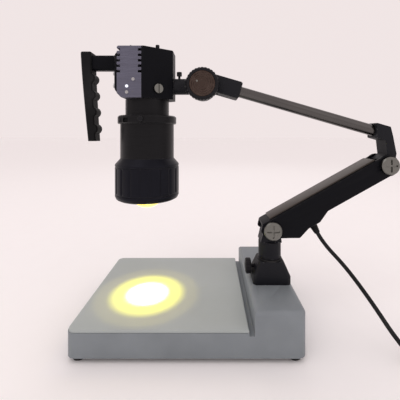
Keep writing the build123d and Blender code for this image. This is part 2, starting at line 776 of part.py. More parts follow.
with BuildPart() as head_housing:
    with BuildSketch(Plane(origin=(head_x, arm_y, body_bottom))):
        with BuildLine():
            Polyline(*housing_plan, close=True)
        make_face()
    extrude(amount=body_top - body_bottom)
    fillet(head_housing.edges().filter_by(Axis.Z).group_by(Axis.X)[-1], 2)
    with BuildSketch(Plane(origin=(head_x, arm_y, body_bottom + housing_wall))):
        with BuildLine():
            Polyline(
                (-1, -body_half_depth + housing_wall),
                (2, -body_half_depth + housing_wall),
                (housing_length - housing_wall, -housing_end_half + housing_wall),
                (housing_length - housing_wall, housing_end_half - housing_wall),
                (2, body_half_depth - housing_wall),
                (-1, body_half_depth - housing_wall),
                close=True,
            )
        make_face()
    extrude(amount=body_top - body_bottom - 2 * housing_wall, mode=Mode.SUBTRACT)
    with BuildSketch(Plane.XY.offset(body_bottom)):
        with Locations((head_x, arm_y)):
            Circle(light_hole)
    extrude(amount=housing_wall, mode=Mode.SUBTRACT)
    with BuildSketch(stub_plane.offset(housing_right - housing_wall)):
        Circle(shaft_diameter / 2 + 1.5)
    extrude(amount=housing_wall, mode=Mode.SUBTRACT)
    for side in (-1, 1):
        with BuildSketch(taper_face(side)):
            Circle(2)
        extrude(amount=-8, mode=Mode.SUBTRACT)
head_housing.part.label = "head_housing"
export_step(head_housing.part, "parts/head_housing.step")

with BuildPart() as housing_screws:
    for side in (-1, 1):
        with BuildSketch(taper_face(side)):
            Circle(5.5)
        extrude(amount=3)
        with BuildSketch(taper_face(side).offset(3)):
            Rectangle(12, 1.6)
        extrude(amount=-1.2, mode=Mode.SUBTRACT)
        with BuildSketch(taper_face(side)):
            Circle(2)
        extrude(amount=-7)
housing_screws.part.label = "housing_screws"
export_step(housing_screws.part, "parts/housing_screws.step")

# sleeve on the housing's end face, round the lug's shaft
with BuildPart() as roll_collar:
    with BuildSketch(stub_plane.offset(housing_right)):
        Circle(collar_diameter / 2)
    extrude(amount=collar_length)
    with BuildSketch(stub_plane.offset(housing_right - housing_wall)):
        Circle(shaft_diameter / 2 + 1.5)
    extrude(amount=housing_wall)
    with BuildSketch(stub_plane.offset(housing_right - housing_wall)):
        Circle(shaft_diameter / 2 + run_clearance)
    extrude(amount=housing_wall + collar_length, mode=Mode.SUBTRACT)
    with BuildSketch(Plane(origin=(housing_right + 6.5, arm_y, tilt_z))):
        Circle(1.5 + run_clearance)
    extrude(amount=collar_diameter, mode=Mode.SUBTRACT)
roll_collar.part.label = "roll_collar"
export_step(roll_collar.part, "parts/roll_collar.step")

with BuildPart() as roll_screw:
    with BuildSketch(Plane(origin=(housing_right + 6.5, arm_y, tilt_z + shaft_diameter / 2 + 0.2))):
        Circle(1.5)
    extrude(amount=(collar_diameter - shaft_diameter) / 2 + 4)
    with BuildSketch(Plane(origin=(housing_right + 6.5, arm_y, tilt_z + collar_diameter / 2 + 3.5))):
        Circle(3.2)
        with PolarLocations(3.6, 10):
            Circle(0.6, mode=Mode.SUBTRACT)
    extrude(amount=5)
roll_screw.part.label = "roll_screw"
export_step(roll_screw.part, "parts/roll_screw.step")

# the lamp: a chip moulded on a round board, flat against the heat sink's shelf
lamp_board_thickness = 1.6
with BuildPart() as lamp_module:
    with BuildSketch(Plane(origin=(head_x, arm_y, led_plane_z))):
        Circle(14)
    extrude(amount=-lamp_board_thickness)
    with BuildSketch(Plane(origin=(head_x, arm_y, led_plane_z - lamp_board_thickness))):
        Rectangle(8, 8)
    extrude(amount=-1.2)
lamp_module.part.label = "lamp_module"
export_step(lamp_module.part, "parts/lamp_module.step")

# toggle switch on the heat sink's top
switch_x = head_x - sink_width * 0.75
switch_plane = Plane(origin=(switch_x, arm_y, body_top))
lever_slot = 1.6
lever_height = 9.5
with BuildPart() as switch_bush:
    with BuildSketch(switch_plane):
        Circle(3.2)
    extrude(amount=4.5)
    with BuildSketch(switch_plane.offset(4.5)):
        Rectangle(5.0, 2 * lever_slot)
    extrude(amount=-3.5, mode=Mode.SUBTRACT)
switch_bush.part.label = "switch_bush"
export_step(switch_bush.part, "parts/switch_bush.step")

lever_pivot = body_top + 2.2
with BuildPart() as switch_lever:
    with BuildSketch(Plane(origin=(switch_x, arm_y, lever_pivot - 0.8))):
        Circle(0.9)
    with BuildSketch(Plane(origin=(switch_x, arm_y, body_top + lever_height))):
        Circle(1.4)
    loft()
    with Locations((switch_x, arm_y, body_top + lever_height)):
        Sphere(1.4)
    # the pin that the lever rocks on, across the bush's slot
    with BuildSketch(bolt_plane(switch_x, lever_pivot, arm_y)):
        Circle(1.0)
    extrude(amount=lever_slot - 0.1, both=True)
switch_lever.part.label = "switch_lever"
export_step(switch_lever.part, "parts/switch_lever.step")

# dimmer button on the housing's top, towards the front
button_place = (head_x + 15, arm_y - 12, body_top)
button_travel = 1.2
with BuildPart() as dimmer_button:
    with BuildSketch(Plane(origin=button_place).offset(button_travel + 0.2)):
        Circle(2.4)
    extrude(amount=5.5)
    fillet(dimmer_button.faces().sort_by(Axis.Z)[-1].edges(), 0.6)
dimmer_button.part.label = "dimmer_button"
export_step(dimmer_button.part, "parts/dimmer_button.step")

# pilot lamp and a slotted screw low on the heat sink's front
sink_front = arm_y - body_half_depth
sink_middle = head_x - sink_width / 2
front_plane = Plane(origin=(sink_middle, sink_front, body_bottom), x_dir=(1, 0, 0), z_dir=front)
with BuildPart() as pilot_lamp:
    with BuildSketch(front_plane):
        with Locations((-2.5, 13)):
            Circle(1.8)
    extrude(amount=1.2)
    fillet(pilot_lamp.faces().sort_by(Axis.Y)[0].edges(), 0.8)
pilot_lamp.part.label = "pilot_lamp"
export_step(pilot_lamp.part, "parts/pilot_lamp.step")

with BuildPart() as sink_screws:
    with BuildSketch(front_plane):
        with Locations((-2.5, 6), (5, 21)):
            Circle(1.9)
    extrude(amount=1.0)
    with BuildSketch(front_plane.offset(1.0)):
        with Locations((-2.5, 6), (5, 21)):
            Rectangle(4, 0.7)
    extrude(amount=-0.5, mode=Mode.SUBTRACT)
sink_screws.part.label = "sink_screws"
export_step(sink_screws.part, "parts/sink_screws.step")

# ---------------------------------------------------------------- handle
plate_top = body_top - 2.4
plate_bottom = body_bottom + 8.5
bridge_bottom = plate_top - bridge_height
plate_left = sink_left - plate_thickness
bridge_left = plate_left - bridge_length
handle_plane = Plane(origin=(plate_left, arm_y, 0), x_dir=(1, 0, 0), z_dir=front)
handle_screw_points = [(sy * (plate_half_depth - 6), z) for sy in (-1, 1) for z in (plate_top - 26, plate_bottom + 8)]

with BuildPart() as handle_plate:
    with BuildSketch(Plane(origin=(sink_left, arm_y, 0), x_dir=(0, -1, 0), z_dir=(-1, 0, 0))) as plate_face:
        with Locations((0, (plate_top + plate_bottom) / 2)):
            Rectangle(2 * plate_half_depth, plate_top - plate_bottom)
        chamfer(plate_face.vertices(), 4)
    extrude(amount=plate_thickness)
    chamfer(handle_plate.faces().sort_by(Axis.X)[0].edges(), 2.5)
handle_plate.part.label = "handle_plate"
export_step(handle_plate.part, "parts/handle_plate.step")

with BuildPart() as handle_screws:
    with BuildSketch(Plane(origin=(plate_left, arm_y, 0), x_dir=(0, -1, 0), z_dir=(-1, 0, 0))):
        with Locations(*handle_screw_points):
            Circle(2.6)
            RegularPolygon(1.4, 6, mode=Mode.SUBTRACT)
    extrude(amount=1.8)
handle_screws.part.label = "handle_screws"
export_step(handle_screws.part, "parts/handle_screws.step")

grip_top = plate_top + 3
grip_bottom = grip_top - grip_length
bump_pitch = (bridge_bottom - grip_bottom - 2 * bump_radius) / (bump_count - 0.4)


def grip_outer(z):
    """X of the grip's outer edge at height z."""
    return bridge_left - grip_top_width + grip_lean * ((grip_top - z) / grip_length) ** 1.25


def grip_inner(z):
    """X of the grip's inner edge at height z."""
    width = grip_top_width + (grip_bottom_width - grip_top_width) * (grip_top - z) / grip_length
    return grip_outer(z) + width


grip_stations = [grip_top - grip_length * t for t in (0, 0.3, 0.6, 0.85, 1.0)]
with BuildPart() as handle_grip:
    with BuildSketch(bolt_plane(0, 0, arm_y)) as grip_side:
        with BuildLine():
            Spline(*[(grip_outer(z), z) for z in grip_stations])
            Line((grip_outer(grip_bottom), grip_bottom), (grip_inner(grip_bottom), grip_bottom))
            Spline(*[(grip_inner(z), z) for z in reversed(grip_stations)])
            Line((grip_inner(grip_top), grip_top), (grip_outer(grip_top), grip_top))
        make_face()
        fillet(grip_side.vertices().group_by(Axis.Y)[-1], 2)
        # finger bumps down the inner edge
        for k in range(bump_count):
            bump_z = bridge_bottom - bump_radius * 1.6 - k * bump_pitch
            with Locations((grip_inner(bump_z) - bump_radius + bump_height, bump_z)):
                Circle(bump_radius)
    extrude(amount=handle_thickness / 2, both=True)
    chamfer(handle_grip.faces().sort_by(Axis.Y)[0].edges(), grip_edge)
    chamfer(handle_grip.faces().sort_by(Axis.Y)[-1].edges(), grip_edge)
handle_grip.part.label = "handle_grip"
export_step(handle_grip.part, "parts/handle_grip.step")

with BuildPart() as handle_bridge:
    with BuildSketch(handle_plane):
        with Locations((0, bridge_bottom)):
            Rectangle(bridge_length + 4, bridge_height - 1, align=(Align.MAX, Align.MIN))
    extrude(amount=handle_thickness / 2 - 2.5, both=True)
    fillet(handle_bridge.edges().filter_by(Axis.X), 3)
    add(handle_grip.part, mode=Mode.SUBTRACT)
handle_bridge.part.label = "handle_bridge"
export_step(handle_bridge.part, "parts/handle_bridge.step")

# ---------------------------------------------------------------- neck, barrel and lens
def head_tube(bottom, height, outer, inner):
    """A plain tube on the optical axis."""
    with BuildPart() as tube:
        with BuildSketch(Plane(origin=(head_x, arm_y, bottom))):
            Circle(outer)
            Circle(inner, mode=Mode.SUBTRACT)
        extrude(amount=height)
    return tube


neck_radius = neck_diameter / 2
neck_bore = neck_radius - neck_wall
neck = head_tube(rim_bottom + 3, neck_length + rim_height - 3, neck_radius, neck_bore)
neck.part.label = "neck"
export_step(neck.part, "parts/neck.step")

reflector_top = led_plane_z - 3.2
with BuildPart() as reflector:
    with BuildSketch(head_plane):
        with BuildLine():
            Polyline(
                (5.0, reflector_top),
                (6.2, reflector_top),
                (neck_bore - 0.3, neck_bottom + 4),
                (neck_bore - 0.3, neck_bottom + 2),
                (neck_bore - 2.3, neck_bottom + 2),
                (neck_bore - 2.3, neck_bottom + 4),
                close=True,
            )
        make_face()
    revolve(axis=head_axis)
reflector.part.label = "reflector"
export_step(reflector.part, "parts/reflector.step")


def domed_lens(radius, bottom, edge, crown):
    """A lens with a flat lower face, a straight edge and a spherical upper face that rises by crown."""
    sphere = (radius**2 + crown**2) / (2 * crown)
    half = asin(radius / sphere) / 2
    top = bottom + edge + crown
    with BuildPart() as lens:
        with BuildSketch(head_plane):
            with BuildLine():
                Polyline((0, top), (0, bottom), (radius, bottom), (radius, bottom + edge))
                ThreePointArc(
                    (radius, bottom + edge),
                    (sphere * sin(half), top - sphere * (1 - cos(half))),
                    (0, top),
                )
            make_face()
        revolve(axis=head_axis)
    return lens


condenser_radius = neck_bore - 1.0
condenser_z = rim_bottom + 5.0
condenser_lens = domed_lens(condenser_radius, condenser_z, 2.0, 6.0)
condenser_lens.part.label = "condenser_lens"
export_step(condenser_lens.part, "parts/condenser_lens.step")

barrel_radius = barrel_diameter / 2
barrel_screw_radius = 1.5
bore_radius = barrel_bore / 2
spigot_radius = spigot_diameter / 2
filter_seat = 5.0  # how far above the ring's lower face the filter is held
spigot_bottom = ring_bottom + filter_seat
filter_ring_height = 1.6
filter_thickness = 2.0
filter_top = spigot_bottom + filter_ring_height + filter_thickness
with BuildPart() as barrel:
    with BuildSketch(head_plane):
        with BuildLine():
            Polyline(
                (neck_radius, neck_bottom),
                (rim_diameter / 2 - 1.5, neck_bottom),
                (rim_diameter / 2, neck_bottom - 1.5),
                (rim_diameter / 2, rim_bottom + 1.0),
                (rim_diameter / 2 - 1.0, rim_bottom),
                (barrel_radius, rim_bottom),
                (barrel_radius, barrel_bottom),
                (spigot_radius, barrel_bottom),
                (spigot_radius, spigot_bottom),
                (bore_radius, spigot_bottom),
                (bore_radius, rim_bottom - 4),
                (neck_bore, rim_bottom - 4),
                (neck_bore, rim_bottom + 3),
                (neck_radius, rim_bottom + 3),
                close=True,
            )
        make_face()
    revolve(axis=head_axis)
    with BuildSketch(bolt_plane(head_x, rim_bottom + rim_height / 2, arm_y)):
        Circle(barrel_screw_radius)
    extrude(amount=rim_diameter, mode=Mode.SUBTRACT)
    # notch in the rim, at the front
    with BuildSketch(Plane(origin=(head_x - 19, arm_y, rim_bottom + 1))):
        with Locations((0, -rim_diameter / 2 + 5)):
            Rectangle(7, 12)
    extrude(amount=6, mode=Mode.SUBTRACT)
barrel.part.label = "barrel"
export_step(barrel.part, "parts/barrel.step")

# thumb screw at the front of the rim that keeps the neck in the barrel
with BuildPart() as barrel_screw:
    with BuildSketch(bolt_plane(head_x, rim_bottom + rim_height / 2, arm_y - rim_diameter / 2)):
        Circle(3.0)
    extrude(amount=2.5)
    with BuildSketch(bolt_plane(head_x, rim_bottom + rim_height / 2, arm_y - rim_diameter / 2)):
        Circle(barrel_screw_radius)
    extrude(amount=neck_radius - rim_diameter / 2 + 0.1)
barrel_screw.part.label = "barrel_screw"
export_step(barrel_screw.part, "parts/barrel_screw.step")

ring_radius = ring_diameter / 2
ring_bore = spigot_radius + run_clearance
focus_gap = 0.3
with BuildPart() as focus_ring:
    with BuildSketch(head_plane):
        with BuildLine():
            Polyline(
                (ring_bore, barrel_bottom - focus_gap),
                (barrel_radius, barrel_bottom - focus_gap),
                (ring_radius, ring_top),
                (ring_radius, ring_bottom + 5),
                (ring_radius - 1.6, ring_bottom + 1.8),
                (ring_radius - 5, ring_bottom),
                (spigot_radius - 3, ring_bottom),
                (spigot_radius - 3, spigot_bottom - focus_gap),
                (ring_bore, spigot_bottom - focus_gap),
                close=True,
            )
        make_face()
    revolve(axis=head_axis)
    # finger flutes
    with BuildSketch(Plane(origin=(head_x, arm_y, ring_bottom + 8))):
        with PolarLocations(ring_radius + 2.6, 20):
            Circle(3.8)
    extrude(amount=ring_length - 12, mode=Mode.SUBTRACT)
focus_ring.part.label = "focus_ring"
export_step(focus_ring.part, "parts/focus_ring.step")

lens_radius = lens_diameter / 2
cell_bottom = filter_top + lens_travel / 2 + 0.8
cell_height = 13.0
with BuildPart() as lens_cell:
    with BuildSketch(head_plane):
        with BuildLine():
            Polyline(
                (lens_radius - 1.5, cell_bottom),
                (bore_radius - run_clearance, cell_bottom),
                (bore_radius - run_clearance, cell_bottom + cell_height),
                (lens_radius, cell_bottom + cell_height),
                (lens_radius, cell_bottom + 1.5),
                (lens_radius - 1.5, cell_bottom + 1.5),
                close=True,
            )
        make_face()
    revolve(axis=head_axis)
lens_cell.part.label = "lens_cell"
export_step(lens_cell.part, "parts/lens_cell.step")

lens_z = cell_bottom + 1.5
objective_lens = domed_lens(lens_radius - 0.1, lens_z, 3.0, 5.5)
objective_lens.part.label = "objective_lens"
export_step(objective_lens.part, "parts/objective_lens.step")

lens_retainer = head_tube(lens_z + 4.0, 2.0, lens_radius, lens_radius - 1.8)
lens_retainer.part.label = "lens_retainer"
export_step(lens_retainer.part, "parts/lens_retainer.step")

# amber glass in the barrel's mouth: a disc held by a threaded ring, and a dome that looks out below it
filter_sphere = (dome_radius**2 + dome_crown**2) / (2 * dome_crown)
dome_half = asin(dome_radius / filter_sphere) / 2
dome_base = spigot_bottom + filter_ring_height
with BuildPart() as filter_glass:
    with BuildSketch(head_plane):
        with BuildLine():
            Polyline(
                (0, dome_base - dome_crown),
                (0, filter_top),
                (bore_radius - 0.1, filter_top),
                (bore_radius - 0.1, dome_base),
                (dome_radius, dome_base),
            )
            ThreePointArc(
                (dome_radius, dome_base),
                (filter_sphere * sin(dome_half), dome_base - dome_crown + filter_sphere * (1 - cos(dome_half))),
                (0, dome_base - dome_crown),
            )
        make_face()
    revolve(axis=head_axis)
filter_glass.part.label = "filter_glass"
export_step(filter_glass.part, "parts/filter_glass.step")

filter_ring = head_tube(spigot_bottom, filter_ring_height, bore_radius, bore_radius - 3.0)
filter_ring.part.label = "filter_ring"
export_step(filter_ring.part, "parts/filter_ring.step")

# ---------------------------------------------------------------- cord
gland_root = arm_plane.from_local_coords(Vector(belly_end + 2, -gland_pad, 0))
gland_dir = Vector(arm_sin, 0, -arm_cos)
gland_plane = Plane(origin=gland_root, x_dir=(0, 1, 0), z_dir=gland_dir)
cord_radius = cord_diameter / 2
floor_line = floor_z + cord_radius

with BuildPart() as cord_gland:
    with BuildSketch(gland_plane.offset(-3)):
        Circle(5)
    extrude(amount=3)
    with BuildSketch(gland_plane):
        Circle(6.4)
    extrude(amount=2.5)
    with BuildSketch(gland_plane.offset(2.5)):
        Circle(5)
    with BuildSketch(gland_plane.offset(gland_length)):
        Circle(3.4)
    loft()
cord_gland.part.label = "cord_gland"
export_step(cord_gland.part, "parts/cord_gland.step")

# the cord's free stretch: out of the gland, down in front of the post's side, on to the floor
cord_start = gland_root + gland_dir * gland_length
coil_centre = (296.0, -72.0)
cord_route = [
    tuple(cord_start),
    tuple(cord_start + gland_dir * 16),
    (191.0, -31.0, 39.5),
    (210.0, -55.0, 9.5),
    (224.0, -77.0, floor_line + 13.5),
    (237.0, -95.0, floor_line),
    (259.0, -104.5, floor_line),
    (281.0, -107.0, floor_line),
    (300.0, -106.0, floor_line),
]


def arc_radii(points):
    """The arc radius at each inner point: 0.45 of its shorter run over the tangent of half its turn."""
    radii = []
    for before, here, after in zip(points, points[1:], points[2:]):
        run_in = Vector(here) - Vector(before)
        run_out = Vector(after) - Vector(here)
        turn = radians(run_in.get_angle(run_out))
        radii.append(0.45 * min(run_in.length, run_out.length) / tan(turn / 2))
    return radii


cord_radii = arc_radii(cord_route)
print("cord arc radii", [round(r, 1) for r in cord_radii])
print("cord runs", [round((Vector(b) - Vector(a)).length, 1) for a, b in zip(cord_route, cord_route[1:])])

with BuildPart() as cord_tube:
    with BuildLine() as cord_path:
        FilletPolyline(*cord_route, radius=cord_radii)
    with BuildSketch(Plane(origin=cord_path.line @ 0, z_dir=cord_path.line % 0)):
        Circle(cord_radius)
    sweep()
cord_tube.part.label = "cord_tube"
export_step(cord_tube.part, "parts/cord_tube.step")
tube_length = sum(edge.length for edge in cord_path.edges())
print("cord tube", round(tube_length, 1), "volume ratio", cord_tube.part.volume / (pi * cord_radius**2 * tube_length))

coil_outer = coil_turn_radius + coil_band / 2
coil_inner = coil_turn_radius - coil_band / 2
with BuildPart() as cord_coil:
    with BuildSketch(Plane(origin=(*coil_centre, floor_z))):
        Circle(coil_outer)
        Circle(coil_inner, mode=Mode.SUBTRACT)
    extrude(amount=coil_height)
    fillet(cord_coil.edges(), cord_radius)
cord_coil.part.label = "cord_coil"
export_step(cord_coil.part, "parts/cord_coil.step")

tie_plane = Plane(
    origin=(coil_centre[0], coil_centre[1] + coil_turn_radius, floor_z), x_dir=(0, 1, 0), z_dir=(1, 0, 0)
)
with BuildPart() as cord_tie:
    with BuildSketch(tie_plane):
        with Locations((0, coil_height / 2)):
            RectangleRounded(coil_band + 2.4, coil_height, 3)
            RectangleRounded(coil_band + 0.4, coil_height - 1.6, 2.6, mode=Mode.SUBTRACT)
    extrude(amount=4, both=True)
cord_tie.part.label = "cord_tie"
export_step(cord_tie.part, "parts/cord_tie.step")

# the tail leaves the coil's outermost turn and ends in a barrel plug, on the floor beside it
tail_x = coil_centre[0] + coil_outer - cord_radius
tail_length = 42.0
tail_start = coil_centre[1] + 2.0
tail_plane = Plane(origin=(tail_x, tail_start, floor_z + plug_diameter / 2), x_dir=(1, 0, 0), z_dir=(0, 1, 0))
with BuildPart() as cord_tail:
    with BuildSketch(tail_plane):
        Circle(cord_radius)
    extrude(amount=tail_length)
cord_tail.part.label = "cord_tail"
export_step(cord_tail.part, "parts/cord_tail.step")

barrel_contact_length = 9.5
with BuildPart() as dc_plug:
    with BuildSketch(tail_plane.offset(tail_length)):
        Circle(3.4)
    with BuildSketch(tail_plane.offset(tail_length + 10)):
        Circle(plug_diameter / 2 - 0.6)
    loft()
    with BuildSketch(tail_plane.offset(tail_length + 10)):
        Circle(plug_diameter / 2)
    extrude(amount=plug_length - 10)
    fillet(dc_plug.edges().group_by(Axis.Y)[-1], 1.0)
    with BuildSketch(tail_plane.offset(tail_length + plug_length)):
        Circle(2.75)
        Circle(1.25, mode=Mode.SUBTRACT)
    extrude(amount=barrel_contact_length)
dc_plug.part.label = "dc_plug"
export_step(dc_plug.part, "parts/dc_plug.step")
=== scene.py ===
import bpy
import json
from math import atan2, cos, hypot, pi, radians, sin
from mathutils import Matrix, Vector


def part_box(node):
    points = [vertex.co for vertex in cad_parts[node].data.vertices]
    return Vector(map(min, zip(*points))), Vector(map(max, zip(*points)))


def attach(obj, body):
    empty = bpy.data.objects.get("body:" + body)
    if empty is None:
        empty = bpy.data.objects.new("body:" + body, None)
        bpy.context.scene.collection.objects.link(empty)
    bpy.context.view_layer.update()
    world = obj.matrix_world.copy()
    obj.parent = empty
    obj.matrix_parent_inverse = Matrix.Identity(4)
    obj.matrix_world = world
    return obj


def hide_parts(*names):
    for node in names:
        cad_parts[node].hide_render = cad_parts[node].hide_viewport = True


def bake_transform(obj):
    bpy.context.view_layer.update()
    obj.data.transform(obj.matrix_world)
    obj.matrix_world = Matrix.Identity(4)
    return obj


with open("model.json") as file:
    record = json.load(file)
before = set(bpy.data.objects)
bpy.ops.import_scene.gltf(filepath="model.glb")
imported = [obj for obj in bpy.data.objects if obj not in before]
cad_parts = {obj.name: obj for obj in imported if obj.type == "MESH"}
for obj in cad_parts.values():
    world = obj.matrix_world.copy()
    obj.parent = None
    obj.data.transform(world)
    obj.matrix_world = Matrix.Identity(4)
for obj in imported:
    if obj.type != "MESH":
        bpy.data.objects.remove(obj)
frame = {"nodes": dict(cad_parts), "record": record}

# metres, in the frame's own axes: +X towards the arm's post, +Y to the back, +Z up
record = frame["record"]
joints = {joint["name"]: joint for joint in record["behaviour"]["joints"]}
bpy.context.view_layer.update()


def middleOf(node):
    low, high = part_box(node)
    return (Vector(low) + Vector(high)) / 2


def pivotOf(jointName):
    return Vector(joints[jointName]["pos_m"])


# camera
cameraPlace = {"x": 0.0255, "y": -0.381, "z": 0.2015, "lens": 25.65, "shiftX": -0.0275, "shiftY": -0.1625}

cameraData = bpy.data.cameras.new("viewCamera")
cameraData.lens = cameraPlace["lens"]
cameraData.sensor_width = 36
cameraData.shift_x = cameraPlace["shiftX"]
cameraData.shift_y = cameraPlace["shiftY"]
cameraData.clip_start = 0.01
camera = bpy.data.objects.new("viewCamera", cameraData)
camera.location = (cameraPlace["x"], cameraPlace["y"], cameraPlace["z"])
camera.rotation_euler = (radians(90), 0, 0)
bpy.context.scene.collection.objects.link(camera)
bpy.context.scene.camera = camera
print("camera set")


# modelling helpers
def clearSelection():
    if bpy.context.object and bpy.context.object.mode != "OBJECT":
        bpy.ops.object.mode_set(mode="OBJECT")
    bpy.ops.object.select_all(action="DESELECT")


def makeActive(piece):
    clearSelection()
    piece.select_set(True)
    bpy.context.view_layer.objects.active = piece


def settle(piece, place, direction=(0, 0, 1)):
    # turns the piece's own Z to the direction, moves it there, and bakes both into the mesh
    makeActive(piece)
    turn = Vector((0, 0, 1)).rotation_difference(Vector(direction)).to_matrix().to_4x4()
    piece.matrix_world = Matrix.Translation(Vector(place)) @ turn
    bpy.ops.object.transform_apply(location=True, rotation=True, scale=True)


def turned(name, outline, steps=64):
    # a round piece: one point is drawn out along the outline of (radius, height), then spun about Z
    clearSelection()
    bpy.ops.mesh.primitive_plane_add(size=0.002, location=(0, 0, 0))
    piece = bpy.context.active_object
    piece.name = name
    bpy.ops.object.mode_set(mode="EDIT")
    bpy.ops.mesh.merge(type="CENTER")
    bpy.ops.transform.translate(value=(outline[0][0], 0, outline[0][1]))
    for (radius, height), (nextRadius, nextHeight) in zip(outline, outline[1:]):
        step = (nextRadius - radius, 0, nextHeight - height)
        bpy.ops.mesh.extrude_region_move(TRANSFORM_OT_translate={"value": step})
    bpy.ops.mesh.select_all(action="SELECT")
    bpy.ops.mesh.spin(steps=steps, angle=2 * pi, center=(0, 0, 0), axis=(0, 0, 1))
    bpy.ops.mesh.select_all(action="SELECT")
    bpy.ops.mesh.remove_doubles(threshold=1e-6)
    bpy.ops.mesh.normals_make_consistent(inside=False)
    bpy.ops.object.mode_set(mode="OBJECT")
    return piece


def pressFlutes(piece, count, perFlute, reach, low, high, depth):
    # pulls every perFlute-th line of points in towards the axis, between two heights
    steps = count * perFlute
    makeActive(piece)
    bpy.ops.object.mode_set(mode="EDIT")
    bpy.ops.mesh.select_mode(type="VERT")
    bpy.ops.mesh.select_all(action="DESELECT")
    bpy.ops.object.mode_set(mode="OBJECT")
    for vertex in piece.data.vertices:
        x, y, z = vertex.co
        step = round(atan2(y, x) / (2 * pi) * steps) % steps
        vertex.select = hypot(x, y) > reach and low <= z <= high and step % perFlute == 0
    bpy.ops.object.mode_set(mode="EDIT")
    bpy.ops.transform.resize(value=(depth, depth, 1), center_override=(0, 0, 0))
    bpy.ops.object.mode_set(mode="OBJECT")


def soften(piece, width, segments=2, angle=30):
    # rounds the sharp edges and smooths the shading
    makeActive(piece)
    rounding = piece.modifiers.new("rounding", "BEVEL")
    rounding.width = width
    rounding.segments = segments
    rounding.limit_method = "ANGLE"
    rounding.angle_limit = radians(angle)
    bpy.ops.object.modifier_apply(modifier=rounding.name)
    bpy.ops.object.shade_smooth_by_angle(angle=radians(angle))


def finished(piece, material, slotName, body, *nodes):
    piece.data.materials.clear()
    piece.data.materials.append(material)
    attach(piece, body)
    if nodes:
        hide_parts(*nodes)
    return piece


# shader helpers
class Channel:
    # a socket that takes part in plain sums: each operator adds its Math node
    def __init__(self, finish, socket):
        self.finish = finish
        self.socket = socket

    def maths(self, operation, first, second):
        return self.finish.node("ShaderNodeMath", {"operation": operation}, {0: first, 1: second})

    def __add__(self, other):
        return self.maths("ADD", self, other)

    def __radd__(self, other):
        return self.maths("ADD", other, self)

    def __sub__(self, other):
        return self.maths("SUBTRACT", self, other)

    def __rsub__(self, other):
        return self.maths("SUBTRACT", other, self)

    def __mul__(self, other):
        return self.maths("MULTIPLY", self, other)

    def __rmul__(self, other):
        return self.maths("MULTIPLY", other, self)


class Finish:
    def __init__(self, name):
        self.material = bpy.data.materials.new(name)
        self.material.use_nodes = True
        self.tree = self.material.node_tree
        self.shader = self.tree.nodes["Principled BSDF"]

    def feed(self, socket, value):
        if isinstance(value, Channel):
            self.tree.links.new(value.socket, socket)
        else:
            socket.default_value = value

    def node(self, kind, settings=None, inputs=None, output=0):
        made = self.tree.nodes.new(kind)
        for key, value in (settings or {}).items():
            if key == "stops":
                self.setStops(made.color_ramp, value)
            else:
                setattr(made, key, value)
        for key, value in (inputs or {}).items():
            self.feed(made.inputs[key], value)
        return Channel(self, made.outputs[output])

    def setStops(self, ramp, stops):
        while len(ramp.elements) < len(stops):
            ramp.elements.new(0.5)
        for element, (place, tone) in zip(ramp.elements, stops):
            element.position = place
            element.color = (*tone, 1) if isinstance(tone, tuple) else (tone, tone, tone, 1)

    def place(self, stretch=(1, 1, 1), turn=(0, 0, 0), shift=(0, 0, 0)):
        where = self.node("ShaderNodeTexCoord", output="Object")
        values = {"Vector": where, "Location": shift, "Rotation": turn, "Scale": stretch}
        return self.node("ShaderNodeMapping", {}, values)

    def patches(self, scale, detail, low, high):
        # noise cut to soft patches between two levels
        return self.ramp(self.noise(scale, detail), [(low, 0.0), (high, 1.0)])

    def noise(self, scale, detail=3.0, stretch=(1, 1, 1), turn=(0, 0, 0)):
        vector = self.place(stretch, turn)
        return self.node("ShaderNodeTexNoise", {}, {"Vector": vector, "Scale": scale, "Detail": detail})

    def ramp(self, value, stops):
        return self.node("ShaderNodeValToRGB", {"stops": stops}, {"Fac": value})

    def blend(self, mask, first, second):
        mixer = self.tree.nodes.new("ShaderNodeMix")
        mixer.data_type = "RGBA"
        self.feed(mixer.inputs["Factor"], mask)
        self.feed(mixer.inputs[6], first)
        self.feed(mixer.inputs[7], second)
        return Channel(self, mixer.outputs[2])

    def edges(self, radius, low, high):
        # 1 along the outer edges, 0 on the flats
        rounded = self.node("ShaderNodeBevel", {"samples": 4}, {"Radius": radius})
        flat = self.node("ShaderNodeNewGeometry", output="Normal")
        product = {"operation": "DOT_PRODUCT"}
        likeness = self.node("ShaderNodeVectorMath", product, {0: rounded, 1: flat}, "Value")
        return self.ramp(1 - likeness, [(low, 0.0), (high, 1.0)])

    def bump(self, height, strength, distance):
        values = {"Height": height, "Strength": strength, "Distance": distance}
        lifted = self.node("ShaderNodeBump", {}, values)
        self.feed(self.shader.inputs["Normal"], lifted)

    def set(self, **values):
        names = {"color": "Base Color", "roughness": "Roughness", "metallic": "Metallic",
                 "coat": "Coat Weight", "specular": "Specular IOR Level", "clear": "Transmission Weight",
                 "ior": "IOR", "glow": "Emission Color", "glowStrength": "Emission Strength"}
        for key, value in values.items():
            self.feed(self.shader.inputs[names[key]], value)


def tone(red, green, blue):
    return (red, green, blue, 1)


def scaled(colour, share):
    return tone(*[channel * share for channel in colour])


# finishes
def mouldedPlastic(name, base, wearAndHighlightEdge, grain=900.0, rough=0.5, edgeWearAndHighlight=0.5, depth=0.00012, specular=0.14):
    # satin moulding: fine spark texture, cloudy handling marks, edges lightened as polish wear and as a
    # painted edge highlight
    finish = Finish(name)
    sparks = finish.noise(grain, 2.0)
    clouds = finish.noise(22.0, 4.0)
    # edge mask lightens the colour towards the worn tone: partly wear, partly a painted edge highlight
    edge = finish.edges(0.0012, 0.02, 0.2) * finish.patches(160.0, 3.0, 0.35, 0.65) * edgeWearAndHighlight
    body = finish.blend(finish.ramp(clouds, [(0.3, 0.0), (0.75, 1.0)]), tone(*base), scaled(base, 1.22))
    finish.set(color=finish.blend(edge, body, tone(*wearAndHighlightEdge)))
    finish.set(roughness=rough + (clouds - 0.5) * 0.25 - edge * 0.15)
    finish.set(specular=specular)
    finish.bump(sparks, 0.35, depth)
    return finish.material


